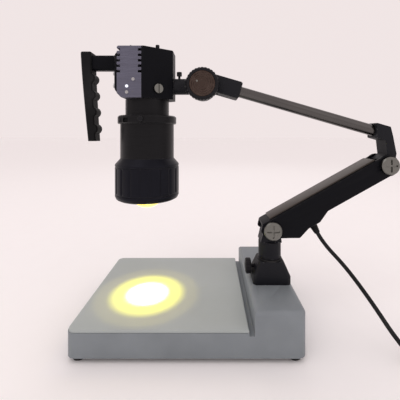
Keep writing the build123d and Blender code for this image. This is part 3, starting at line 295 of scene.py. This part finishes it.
def bakedEnamel(name, base, dust):
    # light enamel on sheet: orange peel, faint dust and hair scratches
    finish = Finish(name)
    peel = finish.noise(420.0, 2.0)
    dirt = finish.patches(9.0, 5.0, 0.42, 0.78)
    hair = finish.noise(60.0, 2.0, (1, 26, 1), (0, 0, radians(24)))
    scratch = finish.ramp(hair, [(0.66, 0.0), (0.7, 1.0)]) * 0.35
    finish.set(color=finish.blend(dirt * 0.5, tone(*base), tone(*dust)))
    finish.set(roughness=0.46 + dirt * 0.14 - scratch * 0.2)
    finish.set(specular=0.4)
    finish.bump(peel - scratch * 0.5, 0.18, 0.0001)
    return finish.material


def crackleCoat(name, base, bright):
    # black crackle coat on a casting, chipped along its edges; the bright edge chips are also a painted edge
    # highlight
    finish = Finish(name)
    cells = finish.node("ShaderNodeTexVoronoi", {}, {"Vector": finish.place(), "Scale": 700.0}, "Distance")
    clouds = finish.noise(40.0, 4.0)
    # bright edge chips: partly chipped paint, partly a painted edge highlight
    chipsAndEdgeHighlight = finish.edges(0.001, 0.05, 0.3) * finish.patches(300.0, 4.0, 0.52, 0.6)
    finish.set(color=finish.blend(chipsAndEdgeHighlight, tone(*base), tone(*bright)), roughness=0.52 + (clouds - 0.5) * 0.3)
    finish.set(metallic=chipsAndEdgeHighlight * 0.8, specular=0.2)
    finish.bump(cells, 0.5, 0.00025)
    return finish.material


def powderCoat(name, base, bright, rough=0.42):
    # smooth powder coat on aluminium: slight orange peel, corners lightened as wear and as a painted edge
    # highlight
    finish = Finish(name)
    peel = finish.noise(330.0, 1.0)
    clouds = finish.noise(30.0, 5.0)
    # lighter corners: partly wear, partly a painted edge highlight
    wearAndHighlightEdge = finish.edges(0.0012, 0.03, 0.25) * finish.patches(210.0, 3.0, 0.4, 0.7)
    finish.set(color=finish.blend(wearAndHighlightEdge * 0.6, tone(*base), tone(*bright)))
    finish.set(roughness=rough + (clouds - 0.5) * 0.25)
    finish.set(specular=0.08)
    finish.bump(peel, 0.22, 0.00015)
    return finish.material


def anodised(name, base, bright, stretch=(1, 1, 30), rough=0.36, metal=0.85, scale=90.0, specular=0.3):
    # brushed and anodised: fine lines one way, brighter along the edges where the dye is worn off, and as a
    # painted edge highlight
    finish = Finish(name)
    lines = finish.noise(scale, 4.0, stretch)
    clouds = finish.noise(18.0, 4.0)
    # lighter edges: partly worn-off dye, partly a painted edge highlight
    wearAndHighlightEdge = finish.edges(0.0008, 0.03, 0.2)
    body = finish.blend(finish.ramp(lines, [(0.3, 0.0), (0.7, 1.0)]), tone(*base), scaled(base, 1.35))
    finish.set(color=finish.blend(wearAndHighlightEdge * 0.5, body, tone(*bright)), metallic=metal, specular=specular)
    finish.set(roughness=rough + (lines - 0.5) * 0.2 + (clouds - 0.5) * 0.15)
    finish.bump(lines, 0.12, 0.00006)
    return finish.material


def brightPlate(name, base, rough=0.12, scale=70.0, stretch=(1, 1, 1)):
    # bright plating with faint haze, fingermarks and fine lines; the darker haze patches are also a painted
    # dark reflection
    finish = Finish(name)
    # darker haze patches: partly fingermark haze, partly a painted dark reflection
    hazeAndDarkReflection = finish.patches(35.0, 6.0, 0.4, 0.8)
    lines = finish.noise(scale, 3.0, stretch)
    finish.set(color=finish.blend(hazeAndDarkReflection * 0.4, tone(*base), scaled(base, 0.72)), metallic=1.0)
    finish.set(roughness=rough + hazeAndDarkReflection * 0.16 + (lines - 0.5) * 0.1)
    finish.bump(lines, 0.06, 0.00003)
    return finish.material


def turnedSteel(name, base, rough=0.28):
    # lathe-turned face: rings about the piece's own axis show as fine grain
    finish = Finish(name)
    grain = finish.noise(1500.0, 2.0, (1, 0.08, 1))
    stain = finish.noise(120.0, 4.0)
    finish.set(color=finish.blend(stain, tone(*base), scaled(base, 0.7)), metallic=1.0)
    finish.set(roughness=rough + (grain - 0.5) * 0.25)
    finish.bump(grain, 0.15, 0.00005)
    return finish.material


def softRubber(name, base, dusty, grain=1400.0, rough=0.72):
    finish = Finish(name)
    pores = finish.noise(grain, 3.0)
    dust = finish.patches(26.0, 5.0, 0.45, 0.85)
    finish.set(color=finish.blend(dust * 0.5, tone(*base), tone(*dusty)))
    finish.set(roughness=rough + (pores - 0.5) * 0.2)
    finish.set(specular=0.15)
    finish.bump(pores, 0.4, 0.0001)
    return finish.material


def castIron(name, base):
    finish = Finish(name)
    skin = finish.noise(260.0, 6.0)
    rust = finish.patches(50.0, 5.0, 0.6, 0.75)
    finish.set(color=finish.blend(rust * 0.6, tone(*base), tone(0.2, 0.09, 0.04)), metallic=0.7)
    finish.set(roughness=0.62 + (skin - 0.5) * 0.3)
    finish.bump(skin, 0.6, 0.0003)
    return finish.material


def circuitBoard(name, base, copper):
    finish = Finish(name)
    tracks = finish.node("ShaderNodeTexBrick", {}, {"Vector": finish.place((240, 240, 240)), "Scale": 1.0,
                         "Color1": tone(*base), "Color2": scaled(base, 1.3), "Mortar": tone(*copper)})
    finish.set(color=tracks, roughness=0.3 + finish.noise(200.0) * 0.2, coat=0.4)
    return finish.material


def clearGlass(name, tint, rough=0.03):
    finish = Finish(name)
    smear = finish.patches(60.0, 5.0, 0.5, 0.9)
    finish.set(color=tone(*tint), roughness=rough + smear * 0.08, clear=1.0, ior=1.52)
    return finish.material


def glowingAmber(name, centre, rim, strength, middle, reach):
    # lit glass: near white in the middle, amber towards its rim
    finish = Finish(name)
    spread = finish.place((1 / reach, 1 / reach, 0.001), (0, 0, 0), (-middle.x / reach, -middle.y / reach, 0))
    distance = finish.node("ShaderNodeVectorMath", {"operation": "LENGTH"}, {0: spread}, "Value")
    swirl = finish.noise(140.0, 3.0)
    shade = finish.ramp(distance + (swirl - 0.5) * 0.12, [(0.15, centre), (0.95, rim)])
    finish.set(color=shade, glow=shade, glowStrength=strength, roughness=0.18 + swirl * 0.08)
    return finish.material


def pilotGlass(name):
    finish = Finish(name)
    grain = finish.noise(900.0, 2.0)
    finish.set(color=finish.blend(grain, tone(0.8, 0.84, 0.92), tone(0.95, 0.97, 1.0)))
    finish.set(roughness=0.1 + grain * 0.1)
    finish.set(glow=tone(0.7, 0.78, 0.95), glowStrength=0.55)
    return finish.material


headMiddle = middleOf("neck")
finishes = {
    "base_shell": mouldedPlastic("greyMoulding", (0.190, 0.215, 0.232), (0.4, 0.41, 0.42), 700.0, 0.5, 0.35,
                                 specular=0.35),
    "stage_enamel": bakedEnamel("stageEnamel", (0.395, 0.440, 0.435), (0.34, 0.37, 0.355)),
    "cover_black": mouldedPlastic("underCover", (0.03, 0.03, 0.032), (0.12, 0.12, 0.12)),
    "foot_rubber": softRubber("footRubber", (0.022, 0.022, 0.023), (0.12, 0.11, 0.1)),
    "ballast_iron": castIron("ballastIron", (0.1, 0.1, 0.105)),
    "screw_steel": turnedSteel("screwSteel", (0.52, 0.52, 0.53)),
    "bracket_black": crackleCoat("crackleBlack", (0.0060, 0.0068, 0.0100), (0.3, 0.3, 0.3)),
    "bush_bronze": turnedSteel("bushBronze", (0.6, 0.42, 0.18), 0.3),
    "washer_nylon": mouldedPlastic("washerNylon", (0.014, 0.014, 0.015), (0.08, 0.08, 0.08), 800.0, 0.4),
    "knob_black": mouldedPlastic("knobBlack", (0.0085, 0.0085, 0.0105), (0.1, 0.1, 0.1), 1200.0, 0.42),
    "arm_black": powderCoat("armPowder", (0.0045, 0.0048, 0.0068), (0.16, 0.15, 0.14)),
    "strip_bronze": anodised("stripBronze", (0.052, 0.045, 0.040), (0.2, 0.17, 0.15), (1, 18, 1), 0.42, 0.7),
    # bolt and rod plating colours are kept dark as a painted reflection of dark surroundings that the chrome
    # would mirror
    "bolt_chrome": brightPlate("boltPlate", (0.18, 0.18, 0.165), 0.25, 900.0, (1, 0.1, 1)),
    "board_green": circuitBoard("boardGreen", (0.02, 0.1, 0.04), (0.5, 0.32, 0.1)),
    "rod_chrome": brightPlate("rodPlate", (0.105, 0.100, 0.097), 0.2, 160.0, (0.06, 1, 1)),
    "knob_brown": mouldedPlastic("knobFace", (0.045, 0.029, 0.023), (0.2, 0.15, 0.13), 500.0, 0.34),
    "sink_grey": anodised("sinkAnodised", (0.100, 0.100, 0.135), (0.34, 0.34, 0.4), (1, 1, 24), 0.45, 0.55),
    "housing_black": mouldedPlastic("housingBlack", (0.0040, 0.0043, 0.0060), (0.06, 0.06, 0.07),
                                    1000.0, 0.42, specular=0.06),
    "barrel_black": anodised("barrelAnodised", (0.0105, 0.0105, 0.0115), (0.1, 0.1, 0.105), (1, 1, 30),
                             0.34, 0.5, specular=0.14),
    "ring_black": anodised("ringAnodised", (0.0075, 0.0080, 0.0120), (0.1, 0.1, 0.105), (1, 1, 20),
                           0.38, 0.5, specular=0.14),
    "grip_black": softRubber("gripRubber", (0.0038, 0.0038, 0.0045), (0.035, 0.035, 0.037), 1100.0, 0.6),
    "lens_glass": clearGlass("opticalGlass", (0.95, 0.98, 1.0)),
    "filter_amber": glowingAmber("amberGlow", (1.0, 0.90, 0.35), (1.0, 0.72, 0.05), 1.3, headMiddle, 0.024),
    "reflector_bright": brightPlate("reflectorPlate", (0.85, 0.85, 0.86), 0.05),
    "led_amber": glowingAmber("lampChip", (1.0, 0.9, 0.55), (0.35, 0.3, 0.1), 3.0, headMiddle, 0.012),
    "pilot_white": pilotGlass("pilotGlass"),
    "plug_black": mouldedPlastic("plugMoulding", (0.012, 0.012, 0.013), (0.1, 0.1, 0.1), 900.0, 0.38),
    "cord_black": softRubber("cordJacket", (0.009, 0.009, 0.010), (0.04, 0.04, 0.042), 1600.0, 0.5),
}
slotOf = {row["node"]: row["material_slot"] for row in record["subparts"]}
for nodeName, nodeObject in frame["nodes"].items():
    nodeObject.data.materials.clear()
    nodeObject.data.materials.append(finishes[slotOf[nodeName]])
print("finishes made", len(finishes))

# cord: one smooth line from the gland, over the floor, round the coil and out to the plug
cordSizes = {"radius": 0.0025, "turns": 6.222, "startAngle": -80, "pointsPerTurn": 16, "outer": 0.0345,
             "inner": 0.0190, "innerTurn": 3.0, "riseTurns": 0.45, "floorLine": -0.0315}
coilCentre = Vector((0.296, -0.072, 0))
cordRoute = [
    (0.16084, -0.018, 0.07733),
    (0.16865, -0.018, 0.06336),
    (0.191, -0.031, 0.0395),
    (0.210, -0.055, 0.0095),
    (0.224, -0.077, -0.018),
    (0.237, -0.095, -0.0315),
    (0.259, -0.1045, -0.0315),
    (0.281, -0.107, -0.0315),
]
plugEnd = [
    (0.3306, -0.058, -0.0266),
    (0.3308, -0.044, -0.0280),
    (0.3304, -0.034, -0.0290),
    (0.3305, -0.026, -0.0290),
]


def coilPoint(turn):
    # inwards on the floor, a short climb, then outwards on top of the first layer
    size = cordSizes
    climbed = min(max((turn - size["innerTurn"]) / size["riseTurns"], 0), 1)
    if turn < size["innerTurn"]:
        radius = size["outer"] + (size["inner"] - size["outer"]) * turn / size["innerTurn"]
    else:
        outwards = max(turn - size["innerTurn"] - size["riseTurns"], 0)
        span = size["turns"] - size["innerTurn"] - size["riseTurns"]
        radius = size["inner"] + (size["outer"] - size["inner"]) * outwards / span
    angle = radians(size["startAngle"]) + 2 * pi * turn
    height = size["floorLine"] + 2 * size["radius"] * climbed
    return coilCentre + Vector((radius * cos(angle), radius * sin(angle), height))


def cordLine(name, points):
    curve = bpy.data.curves.new(name, "CURVE")
    curve.dimensions = "3D"
    curve.resolution_u = 6
    spline = curve.splines.new("NURBS")
    spline.points.add(len(points) - 1)
    for point, where in zip(spline.points, points):
        point.co = (*where, 1)
    spline.order_u = 3
    spline.use_endpoint_u = True
    line = bpy.data.objects.new(name, curve)
    bpy.context.scene.collection.objects.link(line)
    return line


coilSteps = round(cordSizes["turns"] * cordSizes["pointsPerTurn"])
coilTurns = [tuple(coilPoint(cordSizes["turns"] * step / coilSteps)) for step in range(coilSteps + 1)]
cord = cordLine("cord", cordRoute + coilTurns + plugEnd)
lineMesh = bpy.data.meshes.new_from_object(cord.evaluated_get(bpy.context.evaluated_depsgraph_get()))
cord.data.bevel_depth = cordSizes["radius"]
cord.data.bevel_resolution = 3
cord.data.use_fill_caps = True
makeActive(cord)
bpy.ops.object.convert(target="MESH")
cord = bpy.context.active_object
bpy.ops.object.shade_smooth_by_angle(angle=radians(50))
cord.data.materials.clear()
cord.data.materials.append(finishes["cord_black"])
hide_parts("cord_tube", "cord_coil", "cord_tail")
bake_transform(cord)

# plug: a moulded grip with ribs and a bright hollow contact
plugSizes = {"length": 0.026, "neck": 0.0034, "body": 0.005, "ribs": 4, "ribPitch": 0.0022,
             "contact": 0.00275, "bore": 0.00125, "boreDepth": 0.0092}
plugLow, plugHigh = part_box("dc_plug")
plugStart = Vector(((plugLow[0] + plugHigh[0]) / 2, plugLow[1], (plugLow[2] + plugHigh[2]) / 2))


def makePlug():
    size = plugSizes
    outline = [(0, 0), (size["neck"] - 0.0004, 0), (size["neck"], 0.0004)]
    for rib in range(size["ribs"]):
        start = 0.001 + rib * size["ribPitch"]
        outline += [(size["neck"], start), (size["neck"] + 0.0006, start + 0.0004),
                    (size["neck"] + 0.0006, start + 0.0012), (size["neck"], start + 0.0016)]
    outline += [(size["body"] - 0.0006, 0.0105), (size["body"], 0.0125), (size["body"], 0.0235),
                (size["body"] - 0.0005, 0.0255), (size["body"] - 0.0015, size["length"]), (0, size["length"])]
    moulding = turned("plugMoulding", outline, 40)
    settle(moulding, plugStart, (0, 1, 0))
    soften(moulding, 0.0002)
    finished(moulding, finishes["plug_black"], "plug_black", "post")
    end = (plugHigh[1] - plugLow[1]) - size["length"]
    floorOfBore = end - size["boreDepth"]
    contact = turned("plugContact", [
        (size["bore"], floorOfBore), (size["bore"], end - 0.0002), (size["bore"] + 0.0003, end),
        (size["contact"] - 0.0003, end), (size["contact"], end - 0.0004), (size["contact"], 0.0012),
        (size["contact"] - 0.0003, 0.0008), (size["contact"], 0.0004), (size["contact"], 0), (0, 0),
        (0, floorOfBore), (size["bore"], floorOfBore)], 36)
    settle(contact, plugStart + Vector((0, size["length"], 0)), (0, 1, 0))
    bpy.ops.object.shade_smooth_by_angle(angle=radians(35))
    finished(contact, finishes["bolt_chrome"], "screw_steel", "post")
    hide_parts("dc_plug")
    return moulding, contact


plugMoulding, plugContact = makePlug()


# softened copies of the CAD shells: the same shape with its hard edges rounded
def softenedCopy(name, node, body, width, segments=2, angle=28):
    source = frame["nodes"][node]
    piece = bpy.data.objects.new(name, source.data.copy())
    bpy.context.scene.collection.objects.link(piece)
    piece.matrix_world = source.matrix_world
    makeActive(piece)
    bpy.ops.object.mode_set(mode="EDIT")
    bpy.ops.mesh.select_all(action="SELECT")
    bpy.ops.mesh.remove_doubles(threshold=2e-6)
    bpy.ops.mesh.dissolve_limited(angle_limit=radians(0.5))
    bpy.ops.object.mode_set(mode="OBJECT")
    soften(piece, width, segments, angle)
    slotName = slotOf[node]
    return finished(piece, finishes[slotName], slotName, body, node)


coilTie = softenedCopy("coilTie", "cord_tie", "post", 0.0003)
print("cord, plug and tie made")

shells = {
    "baseShell": {"node": "base_housing", "body": "base", "width": 0.0008},
    "stageTop": {"node": "stage_plate", "body": "base", "width": 0.0003},
    "bracketCasting": {"node": "arm_bracket", "body": "base", "width": 0.0008},
    "armCasing": {"node": "arm_shell", "body": "lower_arm", "width": 0.0004},
    "armCover": {"node": "arm_strip", "body": "lower_arm", "width": 0.0004},
    "elbowBlock": {"node": "elbow_bracket", "body": "upper_arm", "width": 0.0006},
    "rodFork": {"node": "rod_connector", "body": "upper_arm", "width": 0.0005},
    "finBlock": {"node": "heat_sink", "body": "head", "width": 0.0003},
    "headCover": {"node": "head_housing", "body": "head", "width": 0.0007},
    "gripPlate": {"node": "handle_plate", "body": "head", "width": 0.0005},
    "gripBridge": {"node": "handle_bridge", "body": "head", "width": 0.0003},
}
for shellName, shellSizes in shells.items():
    softenedCopy(shellName, **shellSizes)
print("shells softened")

# tilt knob: fluted rim, recessed face with rings, a boss and a pointer
knobSizes = {"flutes": 30, "perFlute": 4, "fluteDepth": 0.955, "boss": 0.0042, "rings": 3,
             "ringPitch": 0.0026, "bore": 0.0042, "recess": 0.0022}
knobLow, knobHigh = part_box("tilt_knob")
knobRadius = (knobHigh[0] - knobLow[0]) / 2
knobLength = knobHigh[1] - knobLow[1]
faceLow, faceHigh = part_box("knob_cap")
faceRadius = (faceHigh[0] - faceLow[0]) / 2
knobBack = Vector(((knobLow[0] + knobHigh[0]) / 2, knobHigh[1], (knobLow[2] + knobHigh[2]) / 2))


def makeTiltKnob():
    size = knobSizes
    seat = knobLength - size["recess"]
    outline = [(size["bore"], 0), (knobRadius - 0.0025, 0), (knobRadius - 0.0012, 0.0006),
               (knobRadius, 0.0022), (knobRadius, 0.006), (knobRadius, knobLength - 0.0026),
               (knobRadius - 0.0009, knobLength - 0.0009), (knobRadius - 0.0022, knobLength),
               (faceRadius + 0.0004, knobLength), (faceRadius, knobLength - 0.0004),
               (faceRadius, seat), (size["bore"], seat), (size["bore"], 0)]
    rim = turned("tiltKnobRim", outline, size["flutes"] * size["perFlute"])
    pressFlutes(rim, size["flutes"], size["perFlute"], knobRadius - 0.0015, 0.0015, knobLength - 0.001,
                size["fluteDepth"])
    settle(rim, knobBack, (0, -1, 0))
    soften(rim, 0.0003, 2, 25)
    finished(rim, finishes["knob_black"], "knob_black", "knob", "tilt_knob")
    dish = [(0, seat), (faceRadius - 0.0001, seat), (faceRadius - 0.0001, knobLength - 0.0006),
            (faceRadius - 0.0008, knobLength + 0.0002)]
    for ring in range(size["rings"]):
        edge = faceRadius - 0.0022 - ring * size["ringPitch"]
        dish += [(edge, knobLength + 0.0002), (edge - 0.0002, knobLength - 0.0003),
                 (edge - 0.0007, knobLength - 0.0003), (edge - 0.0009, knobLength + 0.0002)]
    dish += [(size["boss"] + 0.0003, knobLength + 0.0001), (size["boss"], knobLength + 0.0004),
             (size["boss"] - 0.0006, knobLength + 0.0006), (0, knobLength + 0.0006)]
    face = turned("tiltKnobFace", dish, 72)
    settle(face, knobBack, (0, -1, 0))
    bpy.ops.object.shade_smooth_by_angle(angle=radians(30))
    finished(face, finishes["knob_brown"], "knob_brown", "knob", "knob_cap")
    dot = turned("tiltKnobDot", [(0, 0), (0.0012, 0), (0.0012, 0.0002), (0.0009, 0.00035), (0, 0.00035)], 20)
    settle(dot, knobBack + Vector((-0.0062, -knobLength, 0.0028)), (0, -1, 0))
    finished(dot, finishes["bolt_chrome"], "bolt_chrome", "knob")


makeTiltKnob()

# focus ring: deep finger flutes, and two turned grooves
ringSizes = {"flutes": 20, "perFlute": 6, "fluteDepth": 0.966, "lip": 0.0266, "narrow": 0.0332,
             "flare": 0.0073, "groove": 0.0007}
ringLow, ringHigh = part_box("focus_ring")
ringRadius = (ringHigh[0] - ringLow[0]) / 2
ringTop = ringHigh[2] - ringLow[2]
headAxis = Vector(((ringLow[0] + ringHigh[0]) / 2, (ringLow[1] + ringHigh[1]) / 2, 0))


def makeFocusRing():
    size = ringSizes
    flareFoot = ringTop - size["flare"]
    narrow = size["narrow"]
    grooveRadius = ringRadius - size["groove"]
    outline = [(narrow - 0.003, ringTop), (narrow, ringTop), (narrow + 0.0002, ringTop - 0.0006),
               (narrow + 0.0006, ringTop - 0.0012), (ringRadius - 0.0006, flareFoot + 0.0004),
               (ringRadius, flareFoot - 0.0006), (ringRadius, flareFoot - 0.0024),
               (grooveRadius, flareFoot - 0.0027), (grooveRadius, flareFoot - 0.0035),
               (ringRadius, flareFoot - 0.0038), (ringRadius, flareFoot - 0.006), (ringRadius, 0.011),
               (ringRadius, 0.0088), (grooveRadius, 0.0085), (grooveRadius, 0.0077),
               (ringRadius, 0.0074), (ringRadius, 0.0052), (ringRadius - 0.0016, 0.0018),
               (ringRadius - 0.005, 0), (size["lip"] + 0.0006, 0), (size["lip"], 0.0006),
               (size["lip"], 0.0046), (narrow - 0.0031, 0.0047), (narrow - 0.003, ringTop)]
    ring = turned("focusRing", outline, size["flutes"] * size["perFlute"])
    pressFlutes(ring, size["flutes"], size["perFlute"], ringRadius - 0.0004, 0.0095, flareFoot - 0.005,
                size["fluteDepth"])
    settle(ring, headAxis + Vector((0, 0, ringLow[2])))
    soften(ring, 0.0003, 2, 25)
    finished(ring, finishes["ring_black"], "ring_black", "focus", "focus_ring")


makeFocusRing()
print("knob and ring made")

# lit dome under the ring
domeLow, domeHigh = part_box("filter_glass")
domeSizes = {"radius": 0.0228, "crown": 0.018, "edge": 0.0259, "thick": 0.002, "arcs": 10}


def makeLitDome():
    size = domeSizes
    sphere = (size["radius"] ** 2 + size["crown"] ** 2) / (2 * size["crown"])
    outline = [(0, domeHigh[2]), (size["edge"], domeHigh[2]), (size["edge"], domeHigh[2] - size["thick"])]
    for step in range(size["arcs"] + 1):
        radius = size["radius"] * (1 - step / size["arcs"])
        drop = size["crown"] - (sphere - (sphere ** 2 - radius ** 2) ** 0.5)
        outline.append((radius, domeHigh[2] - size["thick"] - drop))
    dome = turned("litDome", outline, 64)
    settle(dome, headAxis)
    bpy.ops.object.shade_smooth_by_angle(angle=radians(30))
    return finished(dome, finishes["filter_amber"], "filter_amber", "head", "filter_glass")


makeLitDome()

# clamp knob on the bracket's side
clampSizes = {"lobes": 12, "perLobe": 5, "depth": 0.90, "stud": 0.0025, "thick": 0.0070, "cap": 0.004}
clampLow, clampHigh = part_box("clamp_knob")
clampAxis = pivotOf("clamp_turn")


def makeClampKnob():
    size = clampSizes
    radius = (clampHigh[2] - clampLow[2]) / 2
    face = clampHigh[0] - clampLow[0]
    back = face - size["thick"]
    outline = [(0, 0), (size["stud"], 0), (size["stud"], back - 0.0008), (radius - 0.003, back - 0.0002),
               (radius - 0.0006, back + 0.0002), (radius, back + 0.0012), (radius, face - 0.0014),
               (radius - 0.0008, face - 0.0005), (radius - 0.0022, face), (size["cap"], face),
               (size["cap"] - 0.0006, face - 0.0005), (0, face - 0.0005)]
    knob = turned("clampKnobBody", outline, size["lobes"] * size["perLobe"])
    pressFlutes(knob, size["lobes"], size["perLobe"], radius - 0.001, back, face - 0.0004, size["depth"])
    settle(knob, (clampHigh[0], clampAxis.y, clampAxis.z), (-1, 0, 0))
    soften(knob, 0.0003, 2, 25)
    finished(knob, finishes["knob_black"], "knob_black", "clamp", "clamp_knob")


makeClampKnob()

# strain relief: a ribbed sleeve from the arm's belly to the cord
glandSizes = {"collar": 0.0064, "root": 0.0050, "tip": 0.0034, "length": 0.016, "seat": 0.003,
              "ribs": 5, "ribPitch": 0.0025}
glandLine = (Vector(cordRoute[1]) - Vector(cordRoute[0])).normalized()


def makeGland():
    size = glandSizes
    outline = [(0, -size["seat"]), (size["root"], -size["seat"]), (size["root"], 0),
               (size["collar"] - 0.0004, 0), (size["collar"], 0.0004), (size["collar"], 0.0019),
               (size["collar"] - 0.0006, 0.0025), (size["root"], 0.0026)]
    for rib in range(size["ribs"]):
        share = rib / size["ribs"]
        radius = size["root"] + (size["tip"] - size["root"]) * share
        start = 0.0032 + rib * size["ribPitch"]
        outline += [(radius - 0.0006, start), (radius - 0.0006, start + 0.0006), (radius, start + 0.0009),
                    (radius - 0.0001, start + 0.0021)]
    outline += [(size["tip"], size["length"] - 0.0003), (size["tip"] - 0.0003, size["length"]),
                (0, size["length"])]
    gland = turned("cordSleeve", outline, 40)
    settle(gland, Vector(cordRoute[0]) - glandLine * size["length"], glandLine)
    bpy.ops.object.shade_smooth_by_angle(angle=radians(35))
    finished(gland, finishes["cord_black"], "cord_black", "lower_arm", "cord_gland")


makeGland()

# toggle lever with a round tip
leverSizes = {"foot": 0.0009, "neck": 0.00075, "tip": 0.0014, "arcs": 6}
leverLow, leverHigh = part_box("switch_lever")


def makeLever():
    size = leverSizes
    height = leverHigh[2] - leverLow[2]
    outline = [(0, 0), (size["foot"], 0.0002), (size["foot"], 0.002), (size["neck"], 0.0032)]
    outline += [(size["neck"] + 0.0001, height * 0.55), (size["tip"] * 0.86, height - 0.0038)]
    for step in range(size["arcs"] + 1):
        angle = pi / 2 * step / size["arcs"]
        drop = size["tip"] * (1 - sin(angle)) + 0.00001 * (size["arcs"] - step)
        outline.append((size["tip"] * cos(angle), height - drop))
    lever = turned("toggleLever", outline[:-1] + [(0, height)], 24)
    settle(lever, ((leverLow[0] + leverHigh[0]) / 2, (leverLow[1] + leverHigh[1]) / 2, leverLow[2]))
    bpy.ops.object.shade_smooth_by_angle(angle=radians(40))
    finished(lever, finishes["bolt_chrome"], "bolt_chrome", "switch", "switch_lever")


makeLever()
print("small controls made")

# floor and lights
room = {"size": 40.0, "floorTone": (0.975, 0.97, 0.97), "skyTone": (0.875, 0.787, 0.782), "skyStrength": 1.0}


def makeFloor():
    clearSelection()
    bpy.ops.mesh.primitive_plane_add(size=room["size"], location=(0, 0, floorZ))
    floor = bpy.context.active_object
    floor.name = "floor"
    finish = Finish("paleFloor")
    grain = finish.noise(30.0, 3.0)
    finish.set(color=finish.blend(grain, tone(*room["floorTone"]), scaled(room["floorTone"], 1.02)))
    finish.set(roughness=0.85, specular=0.1)
    floor.data.materials.append(finish.material)


def addAreaLight(name, place, aim, size, power):
    light = bpy.data.lights.new(name, "AREA")
    light.shape = "DISK"
    light.size = size
    light.energy = power
    lamp = bpy.data.objects.new(name, light)
    lamp.location = place
    lamp.rotation_euler = (Vector(aim) - Vector(place)).to_track_quat("-Z", "Y").to_euler()
    bpy.context.scene.collection.objects.link(lamp)
    return lamp


def addBeam(name, place, halfAngle, softness, power, colour, radius=0.002):
    light = bpy.data.lights.new(name, "SPOT")
    light.spot_size = radians(2 * halfAngle)
    light.spot_blend = softness
    light.energy = power
    light.color = colour
    light.shadow_soft_size = radius
    beam = bpy.data.objects.new(name, light)
    beam.location = place
    bpy.context.scene.collection.objects.link(beam)
    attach(beam, "head")
    return beam


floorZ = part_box("rubber_feet")[0][2]
makeFloor()
world = bpy.data.worlds.new("paleSurround")
world.use_nodes = True
world.node_tree.nodes["Background"].inputs["Color"].default_value = tone(*room["skyTone"])
world.node_tree.nodes["Background"].inputs["Strength"].default_value = room["skyStrength"]
bpy.context.scene.world = world
bpy.context.scene.view_settings.view_transform = "Standard"
lamps = {"keyLight": {"place": (-0.7, -1.0, 1.5), "aim": (0, 0, 0.1), "size": 1.2, "power": 3.2},
         "fillLight": {"place": (1.2, -0.9, 0.9), "aim": (0.1, 0, 0.15), "size": 1.4, "power": 1.2},
         "backLight": {"place": (0.2, 1.3, 1.3), "aim": (0, 0, 0.2), "size": 1.2, "power": 1.6}}
for lampName, lampSizes in lamps.items():
    addAreaLight(lampName, **lampSizes)
beamTop = headAxis + Vector((0, 0, domeLow[2] - 0.001))
beams = {"amberBeam": {"halfAngle": 25.5, "softness": 0.5, "power": 1.1, "colour": (1.0, 0.86, 0.0)},
         "whiteCore": {"halfAngle": 15.5, "softness": 0.6, "power": 2.2, "colour": (0.9, 1.0, 0.9)},
         "amberHalo": {"halfAngle": 33.0, "softness": 0.25, "power": 0.16, "colour": (1.0, 0.75, 0.1)}}
for beamName, beamSizes in beams.items():
    addBeam(beamName, beamTop, **beamSizes)
print("floor and lights set")
